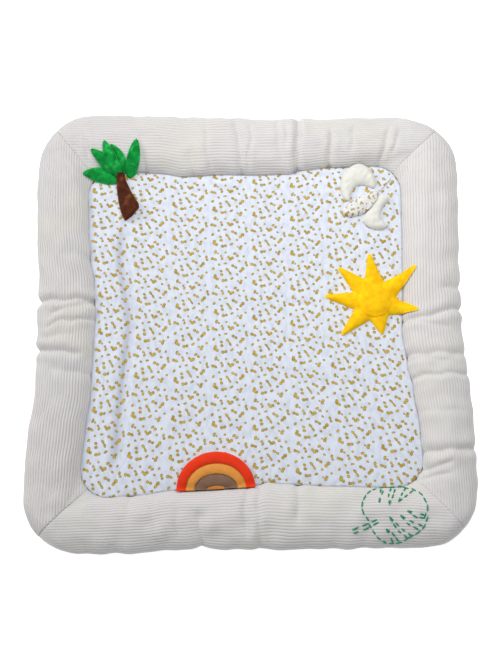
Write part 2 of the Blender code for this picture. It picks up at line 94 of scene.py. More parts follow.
# ---- sockets that take part in sums, for materials and for shape trees
class Sock:
    def __init__(self, socket, board):
        self.socket = socket
        self.board = board

    def maths(self, operation, first, second):
        return self.board.add("ShaderNodeMath", {"operation": operation}, {0: first, 1: second})

    def __add__(self, other):
        return self.maths("ADD", self, other)

    def __radd__(self, other):
        return self.maths("ADD", other, self)

    def __sub__(self, other):
        return self.maths("SUBTRACT", self, other)

    def __rsub__(self, other):
        return self.maths("SUBTRACT", other, self)

    def __mul__(self, other):
        return self.maths("MULTIPLY", self, other)

    def __rmul__(self, other):
        return self.maths("MULTIPLY", other, self)

    def __truediv__(self, other):
        return self.maths("DIVIDE", self, other)

    def __pow__(self, other):
        return self.maths("POWER", self, other)

    def least(self, other):
        return self.maths("MINIMUM", self, other)


class Board:
    def add(self, kind, settings, values, output=0):
        node = self.tree.nodes.new(kind)
        for key, value in settings.items():
            if key == "stops":
                self.setStops(node.color_ramp, value)
            else:
                setattr(node, key, value)
        for key, value in values.items():
            self.feed(node.inputs[key], value)
        return Sock(node.outputs[output], self)

    def feed(self, socket, value):
        if isinstance(value, Sock):
            self.tree.links.new(value.socket, socket)
        else:
            socket.default_value = value

    def setStops(self, ramp, stops):
        while len(ramp.elements) < len(stops):
            ramp.elements.new(0.5)
        for element, (place, colour) in zip(ramp.elements, stops):
            element.position = place
            element.color = (*colour, 1.0)


class Paint(Board):
    def __init__(self, name, **constants):
        self.material = bpy.data.materials.new(name)
        self.material.use_nodes = True
        self.tree = self.material.node_tree
        self.shader = self.tree.nodes["Principled BSDF"]
        for key, value in constants.items():
            self.shader.inputs[key.replace("_", " ")].default_value = value

    def place(self):
        return self.add("ShaderNodeTexCoord", {}, {}, "Object")

    def cloth(self):
        return self.add("ShaderNodeUVMap", {"uv_map": "cloth"}, {})

    def fact(self, name):
        return self.add("ShaderNodeAttribute", {"attribute_name": name}, {}, "Fac")

    def noise(self, where, size, detail, stretch=(1.0, 1.0, 1.0)):
        if stretch != (1.0, 1.0, 1.0):
            values = {"Vector": where, "Scale": stretch}
            where = self.add("ShaderNodeMapping", {}, values)
        values = {"Vector": where, "Scale": 1.0 / size, "Detail": detail}
        return self.add("ShaderNodeTexNoise", {}, values)

    def span(self, value, low, high):  # eased 0 to 1 between low and high
        values = {"Value": value, "From Min": low, "From Max": high}
        return self.add("ShaderNodeMapRange", {"interpolation_type": "SMOOTHSTEP"}, values)

    def mix(self, share, first, second):
        first, second = [c if isinstance(c, Sock) else (*c, 1.0) for c in (first, second)]
        return self.add("ShaderNodeMix", {"data_type": "RGBA"}, {0: share, 6: first, 7: second}, 2)

    def finish(self, colour, height=None, depth=None):
        self.feed(self.shader.inputs["Base Color"], colour)
        if height is not None:
            values = {"Height": height, "Distance": depth, "Strength": 1.0}
            bump = self.add("ShaderNodeBump", {}, values)
            self.feed(self.shader.inputs["Normal"], bump)
        return self.material


# ---- materials
corduroyLook = {
    # groove is painted shade in the rib grooves; crest is lighter, partly rubbed pile and partly
    # painted highlight
    "groove": (0.40, 0.37, 0.34),
    "flank": (0.617, 0.59, 0.57),
    "crest": (0.70, 0.675, 0.66),
    "tint": (0.64, 0.625, 0.635),
    "cream": (0.66, 0.64, 0.575),
    "pile": 0.5 * mm,
}
muslinLook = {
    "white": (0.82, 0.865, 0.95),
    "shade": (0.70, 0.745, 0.85),
    # painted shade for the fold trough beside the left border
    "trough": (0.57, 0.60, 0.70),
    "ochre": (0.52, 0.32, 0.022),
    "bright": (0.76, 0.50, 0.04),
    "olive": (0.17, 0.145, 0.06),
    "repeatX": 88.0,
    "repeatY": 83.0,
    "lean": 0.15,
    "plump": 1.08,
    "thread": 1.15 * mm,
}
tieLook = {**muslinLook, "white": (0.92, 0.915, 0.89), "shade": (0.85, 0.84, 0.81)}

# Blobs of one repeat of the print: x, y, half length, half width, turn in degrees
printChart = (
    ((10, 12), ((0, 0, 3.6, 3.2, 20), (4.8, -2.6, 3.2, 3.0, -40), (0.6, 5.0, 3.0, 2.7, 0))),
    ((31, 7), ((-3, 0, 3.6, 3.0, 30), (3.6, 2.2, 3.2, 2.6, 60))),
    ((48, 15), ((0, 0, 4.2, 2.1, 40),)),
    ((66, 9), ((1, -1, 3.8, 2.9, 75), (-4.6, 2.0, 2.1, 1.8, 0), (3.4, 4.2, 2.8, 2.2, 0))),
    ((79, 22), ((0, 0, 2.6, 2.1, 30),)),
    ((24, 25), ((0, 4.2, 3.2, 2.6, -20), (1.4, -3.8, 3.4, 2.8, 20))),
    ((41, 32), ((-2.6, 2.8, 4.0, 2.6, -45), (2.8, -4.2, 4.4, 2.3, -60))),
    ((60, 27), ((0, 0, 2.7, 2.3, 0),)),
    ((7, 33), ((0, 0, 3.6, 2.3, 55),)),
    ((70, 39), ((-2.0, -2.6, 3.8, 2.6, 50), (2.6, 3.2, 4.2, 3.0, 55))),
    ((20, 44), ((0, 0, 2.5, 2.2, 0),)),
    ((54, 45), ((-3.2, 1.2, 3.4, 2.8, 0), (3.4, -1.6, 3.0, 2.8, 30))),
    ((34, 49), ((0, 0, 3.8, 1.9, 20),)),
    ((8, 55), ((-2.8, 1.6, 3.4, 2.8, 40), (3.4, 0.4, 3.8, 2.6, -20))),
    ((80, 56), ((0, 2.8, 3.6, 2.4, 80), (1.6, -3.6, 2.8, 2.4, 0))),
    ((45, 62), ((0, 0, 3.4, 3.1, 10), (4.6, 3.0, 3.2, 2.8, 50), (-4.2, 3.6, 2.8, 2.6, -30))),
    ((25, 63), ((0, 2.4, 2.8, 2.2, 10), (2.2, -3.4, 3.4, 2.2, 70))),
    ((65, 60), ((0, 0, 2.8, 2.0, -30),)),
    ((14, 74), ((-1.6, 0, 4.4, 2.5, 70), (3.6, -3.0, 2.2, 2.0, 0))),
    ((35, 76), ((0, 0, 2.4, 2.1, 0),)),
    ((58, 74), ((-3.0, 2.2, 3.8, 2.3, 35), (2.8, -1.8, 3.2, 2.7, 20))),
    ((75, 73), ((0, 0, 3.0, 1.9, 60),)),
)


def corduroyPaint(look):
    paint = Paint("corduroy", Roughness=0.95, Sheen_Weight=0.25, Sheen_Roughness=0.5)
    place = paint.place()
    crest = paint.fact("ribCrest")
    # colour across each rib: painted shade in the grooves; crests lighter, partly rubbed pile and
    # partly painted highlight
    stops = ((0.0, look["groove"]), (0.55, look["flank"]), (1.0, look["crest"]))
    ribs = paint.add("ShaderNodeValToRGB", {"stops": stops}, {"Fac": crest})
    cloud = paint.noise(place, 90 * mm, 3.0)
    tinted = paint.mix(paint.span(cloud, 0.42, 0.66) * 0.35, ribs, look["tint"])
    patch = paint.noise(place, 150 * mm, 2.0)
    tinted = paint.mix(paint.span(patch, 0.50, 0.72) * 0.55, tinted, look["cream"])
    streak = paint.noise(paint.cloth(), 1.4 * mm, 2.0, (0.35, 1.0, 1.0))
    speck = paint.mix(paint.span(streak, 0.35, 0.7) * 0.16, tinted, look["crest"])
    return paint.finish(speck, streak, look["pile"])


def printOn(paint, cloth, white, look):  # own small repeat of blobs, sheared a little
    x = paint.add("ShaderNodeSeparateXYZ", {}, {0: cloth}, 0) / mm
    y = paint.add("ShaderNodeSeparateXYZ", {}, {0: cloth}, 1) / mm
    rough = paint.noise(cloth, 3.2 * mm, 2.0) - 0.5
    leaned = {"X": x + rough * 0.9, "Y": y + x * look["lean"] + rough * 0.8, "Z": 0.0}
    here = paint.add("ShaderNodeCombineXYZ", {}, leaned)
    half = (look["repeatX"] / 2, look["repeatY"] / 2, 1.0)
    nearest = None
    for (middleX, middleY), blobs in printChart:
        values = {0: here, 1: (middleX, middleY, 0.0)}
        apart = paint.add("ShaderNodeVectorMath", {"operation": "SUBTRACT"}, values)
        values = {0: apart, 1: half, 2: tuple(-h for h in half)}
        apart = paint.add("ShaderNodeVectorMath", {"operation": "WRAP"}, values)
        for blobX, blobY, length, width, turn in blobs:
            values = {
                "Vector": apart,
                "Location": (blobX, blobY, 0.0),
                "Rotation": (0.0, 0.0, math.radians(turn)),
                "Scale": (length * look["plump"], width * look["plump"] * 1.1, 1.0),
            }
            own = paint.add("ShaderNodeMapping", {"vector_type": "TEXTURE"}, values)
            far = paint.add("ShaderNodeVectorMath", {"operation": "LENGTH"}, {0: own}, "Value")
            nearest = far if nearest is None else nearest.least(far)
    tone = paint.span(paint.noise(cloth, 9 * mm, 1.0), 0.35, 0.65)
    core = paint.mix(tone, look["ochre"], look["bright"])
    rim = paint.mix(paint.span(nearest, 0.55, 1.0), core, look["olive"])
    return paint.mix(paint.span(nearest, 0.88, 1.12), rim, white)


def muslinPaint(look):
    paint = Paint("printed_muslin", Roughness=0.92, Sheen_Weight=0.12)
    cloth = paint.cloth()
    crinkle = paint.noise(cloth, 11 * mm, 3.0, (1.0, 0.55, 1.0))
    white = paint.mix(paint.span(crinkle, 0.3, 0.62), look["shade"], look["white"])
    slub = paint.noise(cloth, 2.6 * mm, 3.0, (1.0, 0.6, 1.0))
    white = paint.mix(paint.span(slub, 0.50, 0.72) * 0.55, white, look["shade"])
    # painted shade along the fold trough
    white = paint.mix(paint.fact("trough") * 0.8, white, look["trough"])
    printed = printOn(paint, cloth, white, look)
    colour = paint.mix(paint.fact("printed"), white, printed)
    thread = 2.0 * math.pi / look["thread"]
    x = paint.add("ShaderNodeSeparateXYZ", {}, {0: cloth}, 0)
    y = paint.add("ShaderNodeSeparateXYZ", {}, {0: cloth}, 1)
    warp = paint.add("ShaderNodeMath", {"operation": "SINE"}, {0: x * thread})
    weft = paint.add("ShaderNodeMath", {"operation": "SINE"}, {0: y * thread})
    return paint.finish(colour, warp * weft * 0.12 + crinkle, 1.4 * mm)


# Dark, main and light colour, and how mottled the pile looks; the light colour also paints sheen at
# the edges and in brushed streaks
plushLook = {
    "leaf_plush": ((0.001, 0.150, 0.018), (0.001, 0.33, 0.050), (0.04, 0.66, 0.14), 0.75),
    "trunk_plush": ((0.035, 0.006, 0.001), (0.090, 0.019, 0.005), (0.22, 0.062, 0.022), 0.60),
    "moon_velour": ((0.66, 0.63, 0.54), (0.76, 0.755, 0.69), (0.84, 0.84, 0.79), 0.20),
    "sun_plush": ((0.97, 0.38, 0.001), (1.0, 0.60, 0.001), (1.0, 0.78, 0.01), 0.50),
    "red_felt": ((0.58, 0.014, 0.004), (0.83, 0.040, 0.008), (0.90, 0.14, 0.035), 0.15),
    "amber_felt": ((0.60, 0.22, 0.040), (0.74, 0.30, 0.055), (0.82, 0.42, 0.10), 0.15),
    "brown_felt": ((0.14, 0.075, 0.045), (0.22, 0.125, 0.080), (0.30, 0.19, 0.13), 0.15),
    "core_felt": ((0.46, 0.16, 0.030), (0.56, 0.21, 0.045), (0.66, 0.30, 0.08), 0.15),
}


def plushPaint(name, look):
    dark, main, light, mottleAndSheen = look
    paint = Paint(name, Roughness=0.85, Sheen_Weight=0.06, Specular_IOR_Level=0.2)
    paint.shader.inputs["Sheen Tint"].default_value = (*light, 1.0)
    place = paint.place()
    patch = paint.noise(place, 13 * mm, 3.0)
    deep = paint.mix(paint.span(patch, 0.32, 0.62), dark, main)
    colour = paint.mix(mottleAndSheen, main, deep)
    # painted sheen streaks, as on brushed pile
    brushedSheen = paint.noise(place, 22 * mm, 4.0)
    colour = paint.mix(paint.span(brushedSheen, 0.52, 0.75) * (mottleAndSheen * 1.1), colour, light)
    # painted sheen, lighter towards the edges
    colour = paint.mix(paint.span(paint.fact("edge"), 0.55, 1.0) * 0.6, colour, light)
    pile = paint.noise(place, 1.3 * mm, 3.0)
    return paint.finish(colour, pile, 0.7 * mm)


def floorPaint(colour, glow):
    paint = Paint("paleFloor", Roughness=0.9)
    paint.shader.inputs["Emission Color"].default_value = (1.0, 1.0, 1.0, 1.0)
    paint.shader.inputs["Emission Strength"].default_value = glow
    speck = paint.noise(paint.place(), 0.5, 2.0)
    darker = tuple(c * 0.985 for c in colour)
    return paint.finish(paint.mix(speck, darker, colour))


corduroy = corduroyPaint(corduroyLook)
muslin = muslinPaint(muslinLook)
tieMuslin = muslinPaint(tieLook)
plush = {name: plushPaint(name, look) for name, look in plushLook.items()}
print("materials are made")


# ---- small tools for shapes
def ease(value):
    value = np.clip(value, 0.0, 1.0)
    return value * value * (3.0 - 2.0 * value)


def readTable(table, column, along):  # eased between the rows
    rows = np.array(table, float)
    low = np.clip(np.searchsorted(rows[:, 0], along) - 1, 0, len(rows) - 2)
    share = ease((along - rows[low, 0]) / (rows[low + 1, 0] - rows[low, 0]))
    return rows[low, column] + share * (rows[low + 1, column] - rows[low, column])


def waves(x, y, size, seed):  # smooth random field, mostly within -1 and 1
    count = 14
    draw = np.random.default_rng(seed)
    total = 0.0
    for _ in range(count):
        angle, phase = draw.uniform(0.0, 2.0 * math.pi, 2)
        rate = 2.0 * math.pi / size * draw.uniform(0.55, 1.5)
        total = total + np.sin((x * math.cos(angle) + y * math.sin(angle)) * rate + phase)
    return total / math.sqrt(count)


def smoothRows(rows, count):  # a smooth curve through the rows of a table
    rows = np.array(rows, float)
    padded = np.vstack([2 * rows[0] - rows[1], rows, 2 * rows[-1] - rows[-2]])
    where = np.linspace(0.0, len(rows) - 1, count)
    low = np.minimum(where.astype(int), len(rows) - 2)
    t = (where - low)[:, None]
    a, b, c, d = (padded[low + step] for step in range(4))
    bend = t * (2 * a - 5 * b + 4 * c - d + t * (3 * b - a - 3 * c + d))
    return b + 0.5 * t * (c - a + bend)


def meshFrom(name, points, faces, material, facts, cloth):
    mesh = bpy.data.meshes.new(name)
    mesh.from_pydata(points.reshape(-1, 3).tolist(), [], faces)
    for fact, values in facts.items():
        kind = "FLOAT_VECTOR" if values.shape[-1] == 3 and values.size == points.size else "FLOAT"
        made = mesh.attributes.new(fact, kind, "POINT")
        key = "vector" if kind == "FLOAT_VECTOR" else "value"
        made.data.foreach_set(key, values.astype(np.float32).ravel())
    corners = np.zeros(len(mesh.loops), np.int32)
    mesh.loops.foreach_get("vertex_index", corners)
    layer = mesh.uv_layers.new(name="cloth")
    layer.data.foreach_set("uv", cloth.reshape(-1, 2)[corners].astype(np.float32).ravel())
    faceOutwards(mesh)
    mesh.materials.append(material)
    mesh.shade_smooth()
    obj = bpy.data.objects.new(name, mesh)
    scene.collection.objects.link(obj)
    return obj


def faceOutwards(mesh):
    mesh.calc_loop_triangles()
    corners = np.zeros(len(mesh.loop_triangles) * 3, np.int32)
    mesh.loop_triangles.foreach_get("vertices", corners)
    points = np.zeros(len(mesh.vertices) * 3)
    mesh.vertices.foreach_get("co", points)
    a, b, c = points.reshape(-1, 3)[corners.reshape(-1, 3)].transpose(1, 0, 2)
    if np.einsum("ij,ij->i", a, np.cross(b, c)).sum() < 0.0:
        mesh.flip_normals()


def ringFaces(rings, around):  # quads between the rings, and a cap at each end
    index = np.arange(rings * around).reshape(rings, around)
    beside = np.roll(index, -1, axis=1)
    quads = np.stack([index[:-1], beside[:-1], beside[1:], index[1:]], axis=-1)
    return quads.reshape(-1, 4).tolist() + [index[0][::-1].tolist(), index[-1].tolist()]


# ---- trees that make what repeats
class ShapeTree(Board):
    def __init__(self, name):
        self.tree = bpy.data.node_groups.new(name, "GeometryNodeTree")
        face = self.tree.interface
        face.new_socket("Geometry", in_out="INPUT", socket_type="NodeSocketGeometry")
        face.new_socket("Geometry", in_out="OUTPUT", socket_type="NodeSocketGeometry")
        self.entry = self.tree.nodes.new("NodeGroupInput")
        self.exit = self.tree.nodes.new("NodeGroupOutput")
        self.start = Sock(self.entry.outputs[0], self)

    def ask(self, name, kind, value=None):
        made = self.tree.interface.new_socket(name, in_out="INPUT", socket_type="NodeSocket" + kind)
        if value is not None:
            made.default_value = value
        return Sock(self.entry.outputs[name], self)

    def named(self, name, kind):
        node = self.add("GeometryNodeInputNamedAttribute", {"data_type": kind}, {"Name": name})
        return Sock(node.socket.node.outputs["Attribute"], self)

    def close(self, geometry, material):
        whole = self.add("GeometryNodeRealizeInstances", {}, {0: geometry})
        values = {"Geometry": whole, "Material": material}
        self.feed(self.exit.inputs[0], self.add("GeometryNodeSetMaterial", {}, values))


def runTree(source, shapeTree, values, name):
    scene.collection.objects.unlink(source)
    modifier = source.modifiers.new("make", "NODES")
    modifier.node_group = shapeTree.tree
    for item in shapeTree.tree.interface.items_tree:
        if item.in_out == "INPUT" and item.name in values:
            modifier[item.identifier] = values[item.name]
    scene.collection.objects.link(source)
    graph = bpy.context.evaluated_depsgraph_get()
    mesh = bpy.data.meshes.new_from_object(source.evaluated_get(graph))
    bpy.data.objects.remove(source)
    mesh.name = name
    piece = bpy.data.objects.new(name, mesh)
    scene.collection.objects.link(piece)
    return piece


def ribTree():  # raises rounded ribs with narrow grooves where the cloth says so
    made = ShapeTree("corduroyRibs")
    pitch = made.ask("Pitch", "Float", 6.3 * mm)
    height = made.ask("Height", "Float", 1.4 * mm)
    fullness = made.ask("Fullness", "Float", 0.6)
    material = made.ask("Material", "Material")
    phase = made.named("ribPlace", "FLOAT") / pitch * math.pi
    wave = made.add("ShaderNodeMath", {"operation": "SINE"}, {0: phase})
    crest = made.add("ShaderNodeMath", {"operation": "ABSOLUTE"}, {0: wave}) ** fullness
    values = {0: made.named("ribPush", "FLOAT_VECTOR"), "Scale": (crest - 0.5) * height}
    push = made.add("ShaderNodeVectorMath", {"operation": "SCALE"}, values)
    values = {"Geometry": made.start, "Offset": push}
    raised = made.add("GeometryNodeSetPosition", {}, values)
    values = {"Geometry": raised, "Name": "ribCrest", "Value": crest}
    settings = {"data_type": "FLOAT", "domain": "POINT"}
    told = made.add("GeometryNodeStoreNamedAttribute", settings, values)
    made.close(told, material)
    return made


# ---- plan of the mat
plan = {
    "padHalfX": 356 * mm,
    "padHalfY": 363 * mm,
    "matHalfX": 476 * mm,
    "matHalfY": 490 * mm,
    "padCorner": 60 * mm,
    "matCorner": 130 * mm,
    "padGap": 0.5 * mm,
    "mitreGap": 0.04 * mm,
}

# How far each side is pushed out (+) or drawn in (-): along, outer seam, pad seam, crown
sideShape = {
    "top": (
        (-290, 9, -2, 0),
        (-200, 8, -7, 1),
        (-145, 6, -15, -1),
        (-60, 3, -10, 1),
        (20, 1, -11, 0),
        (90, 1, -9, 1),
        (125, 1, 1, -1),
        (190, 1, 8, 0),
        (290, 3, 11, 0),
    ),
    "right": (
        (-300, 10, 17, 0),
        (-240, 9, 14, 1),
        (-150, 6, 3, 0),
        (-95, 0, -8, -1),
        (-20, -5, -17, -2),
        (60, -6, -13, -2),
        (130, -6, -11, -1),
        (210, -2, -9, 1),
        (300, 2, -8, 0),
    ),
    "bottom": (
        (-300, 8, 20, 0),
        (-230, 7, 15, 1),
        (-160, 0, 5, 0),
        (-95, -4, 4, -1),
        (-40, -2, 0, 0),
        (8, -1, -5, 0),
        (38, -1, -12, 0),
        (80, 0, -8, 1),
        (165, -2, -4, 0),
        (290, -4, -1, 1),
    ),
    "left": (
        (-300, 4, 7, 1),
        (-225, 1, 0, 0),
        (-150, -9, -8, -1),
        (-80, -9, -9, -2),
        (20, -6, -12, -2),
        (85, -6, -7, -1),
        (150, 0, 4, 0),
        (220, 6, 11, 1),
        (300, 10, 15, 0),
    ),
}

# Creases across the border: along, slant, width, depth, start and end from pad to outside
creases = {
    "top": (
        (-385, -18, 5, 2.4, 0.15, 0.60),
        (-362, -18, 5, 3.0, 0.10, 0.65),
        (-238, -26, 6, 2.6, -0.2, 0.70),
        (-127, 0, 9, 3.0, -0.2, 0.50),
        (-95, -6, 5, 2.2, -0.1, 0.90),
        (-25, -14, 7, 4.6, -0.2, 1.0),
        (0, 8, 5, 2.6, -0.1, 0.90),
        (70, -14, 6, 2.2, 0.1, 1.0),
        (89, -12, 5, 2.2, 0.0, 0.90),
        (114, 14, 7, 7.0, -0.2, 1.1),
        (189, 6, 6, 5.0, -0.2, 0.75),
        (242, 12, 6, 1.8, 0.05, 0.85),
        (322, 34, 6, 2.8, -0.1, 0.80),
        (346, 34, 5, 2.0, 0.1, 0.70),
    ),
    "right": (
        (-284, 8, 8, 6.0, -0.1, 1.1),
        (-310, 34, 6, 3.2, -0.2, 0.60),
        (-332, 26, 5, 2.6, -0.2, 0.55),
        (-200, 0, 7, 1.6, -0.1, 1.0),
        (-74, 6, 7, 3.6, -0.2, 1.1),
        (-88, -6, 5, 1.8, -0.1, 0.8),
        (14, 26, 7, 5.5, -0.1, 1.2),
        (-6, -30, 6, 2.4, 0.0, 0.85),
        (75, 0, 8, 3.5, 0.55, 1.2),
        (-122, 6, 5, 3.6, -0.1, 1.1),
    ),
    "bottom": (
        (-250, 0, 10, 3.0, -0.2, 0.50),
        (-101, 8, 10, 5.5, 0.30, 1.2),
        (-6, 0, 6, 2.6, -0.2, 0.90),
        (20, 0, 5, 2.2, -0.1, 1.1),
        (97, 0, 8, 3.6, -0.2, 0.65),
        (-148, 12, 6, 1.8, 0.1, 0.9),
        (-196, 16, 6, 1.8, 0.0, 1.0),
    ),
    "left": (
        (-64, 8, 7, 6.5, 0.10, 1.2),
        (48, 0, 7, 6.5, -0.2, 1.2),
        (25, -42, 7, 4.2, -0.2, 0.85),
        (-3, -22, 5, 3.2, -0.1, 0.95),
        (-30, -10, 6, 2.2, 0.2, 1.0),
        (-105, 10, 8, 2.6, -0.2, 0.80),
        (152, 0, 11, 3.0, -0.2, 0.60),
    ),
}


def pushAcross(side, along, out, padHalf, matHalf):
    inner = readTable(sideShape[side], 2, along / mm) * mm
    outer = readTable(sideShape[side], 1, along / mm) * mm
    past = inner + (outer - inner) * (out - padHalf) / (matHalf - padHalf)
    return np.where(out <= padHalf, inner * out / padHalf, past)


def drawIn(x, y):  # from the plain rounded square to the uneven mat
    sizesX = (abs(x), plan["padHalfX"], plan["matHalfX"])
    sizesY = (abs(y), plan["padHalfY"], plan["matHalfY"])
    right, left = (pushAcross(side, y, *sizesX) for side in ("right", "left"))
    top, bottom = (pushAcross(side, x, *sizesY) for side in ("top", "bottom"))
    return x + np.where(x > 0, right, -left), y + np.where(y > 0, top, -bottom)


def sideFrame(side):  # out, along, half sizes across and along
    halves = [plan[key] for key in ("padHalfX", "matHalfX", "padHalfY", "matHalfY")]
    sign = 1.0 if side in ("top", "right") else -1.0
    if side in ("top", "bottom"):
        return np.array((0.0, sign)), np.array((1.0, 0.0)), *halves[2:], *halves[:2]
    return np.array((sign, 0.0)), np.array((0.0, 1.0)), *halves


# ---- corduroy border
borderLook = {
    "crownRise": 34 * mm,
    "fullness": 0.9,
    "innerEase": 0.25,
    "innerSeam": 22 * mm,
    "outerSeam": 21 * mm,
    "under": 15 * mm,
    "ribPitch": 6.3 * mm,
    "ribHeight": {"top": 1.1 * mm, "right": 0.95 * mm, "bottom": 1.1 * mm, "left": 2.1 * mm},
    "ribFullness": 0.62,
    "lastRib": 250.0,
    "mitreDip": 0.8 * mm,
    "dipReach": 9 * mm,
    "step": 3.3 * mm,
    "cornerSteps": 46,
    "crossings": (0.5, 0.60, 0.76, 1.0, 1.24, 1.40),
    "cloud": 1.3 * mm,
    "wander": 0.45 * mm,
    "squareRows": (0.22, 0.48),
    "fadeEnd": 262.0,
    "fadeOver": 0.6,
}
creaseLook = {
    "sway": 2.6,
    "swayAcross": 120,
    "swaySize": 60 * mm,
    "swaySeed": 400,
    "fade": 0.2,
    "dent": 0.78,
    "line": 0.3,
    "lineWidth": 0.3,
    "puff": 0.28,
    "puffPlace": 2.4,
    "puffWidth": 1.3,
}


def rollPoint(angle, width, crown):  # section of the border roll: way out and height
    look = borderLook
    turn = angle - math.pi
    turnedIn = width - look["under"] * (1 - np.cos(turn))
    out = np.where(turn <= 0, width * (1 - np.cos(angle)) / 2, turnedIn)
    softer = look["fullness"] + look["innerEase"] * ease((math.pi / 2 - angle) / (math.pi / 2))
    rise = np.maximum(0.0, np.sin(angle)) ** softer
    base = look["innerSeam"] + (look["outerSeam"] - look["innerSeam"]) * out / width
    over = base + (look["crownRise"] + crown) * rise
    return out, np.where(turn <= 0, over, look["outerSeam"] * (1 - np.sin(turn)))


def rowAngles(width):  # a few rows for each rib, then coarser rows underneath
    look = borderLook
    fine = np.linspace(0.0, 1.5 * math.pi, 3000)
    out, height = rollPoint(fine, width, 0.0)
    length = np.concatenate([[0.0], np.cumsum(np.hypot(np.diff(out), np.diff(height)))])
    ribs = int(np.interp(math.radians(look["lastRib"]), fine, length) / look["ribPitch"])
    places = [(rib + part) * look["ribPitch"] for rib in range(ribs) for part in look["crossings"]]
    places = [0.0, 0.25 * look["ribPitch"]] + places  # a rib sits right at the pad seam
    angles = np.interp(places, length, fine)
    last = np.linspace(angles[-1], 1.5 * math.pi, 6)[1:-1]
    return np.concatenate([angles, last])


def cornerRadius(share):  # rows are square in the middle of the roll
    start, end = borderLook["squareRows"]
    inner = plan["padCorner"] * (1.0 - share / start)
    outer = plan["matCorner"] * (share - end) / (1.0 - end)
    return np.maximum(0.0, np.where(share < end, inner, outer))


def sideways(turn, endShare):  # how far a push goes along the row, most of it near the mitre
    slant = np.abs(np.sin(turn))
    return slant + (np.cos(turn) - slant) * endShare ** 8


def placeOnRow(along, endShare, share, alongPad, alongMat, straightHalf):
    radius = cornerRadius(share)
    rowHalf = alongPad + share * (alongMat - alongPad)
    straight = rowHalf - radius - straightHalf
    reach = endShare * (straight + radius * math.pi / 4)
    turn = np.where(reach > straight, (reach - straight) / np.maximum(radius, 1e-6), 0.0)
    where = np.where(turn > 0, rowHalf - radius + radius * np.sin(turn), straightHalf + reach)
    back = radius * (1.0 - np.cos(turn))
    where = where - plan["mitreGap"] * endShare ** 8
    sign = np.where(along < 0, -1.0, 1.0)
    return np.where(endShare > 0, where * sign, along), back, turn


def creaseDepth(side, where, share):
    look = creaseLook
    depth = 0.0
    for along, slant, width, deep, start, end in creases[side]:
        seed = int(along) + look["swaySeed"]
        sway = waves(share * look["swayAcross"] * mm, 0.0, look["swaySize"], seed)
        apart = where / mm - along - slant * (share - 0.5) + look["sway"] * sway
        window = ease((share - start) / look["fade"]) * ease((end - share) / look["fade"])
        line = look["line"] * np.exp(-abs(apart) / (look["lineWidth"] * width))
        trough = look["dent"] * np.exp(-((apart / width) ** 2)) + line
        beside = (abs(apart) - look["puffPlace"] * width) / (look["puffWidth"] * width)
        depth = depth + deep * window * (trough - look["puff"] * np.exp(-(beside ** 2)))
    return depth * mm


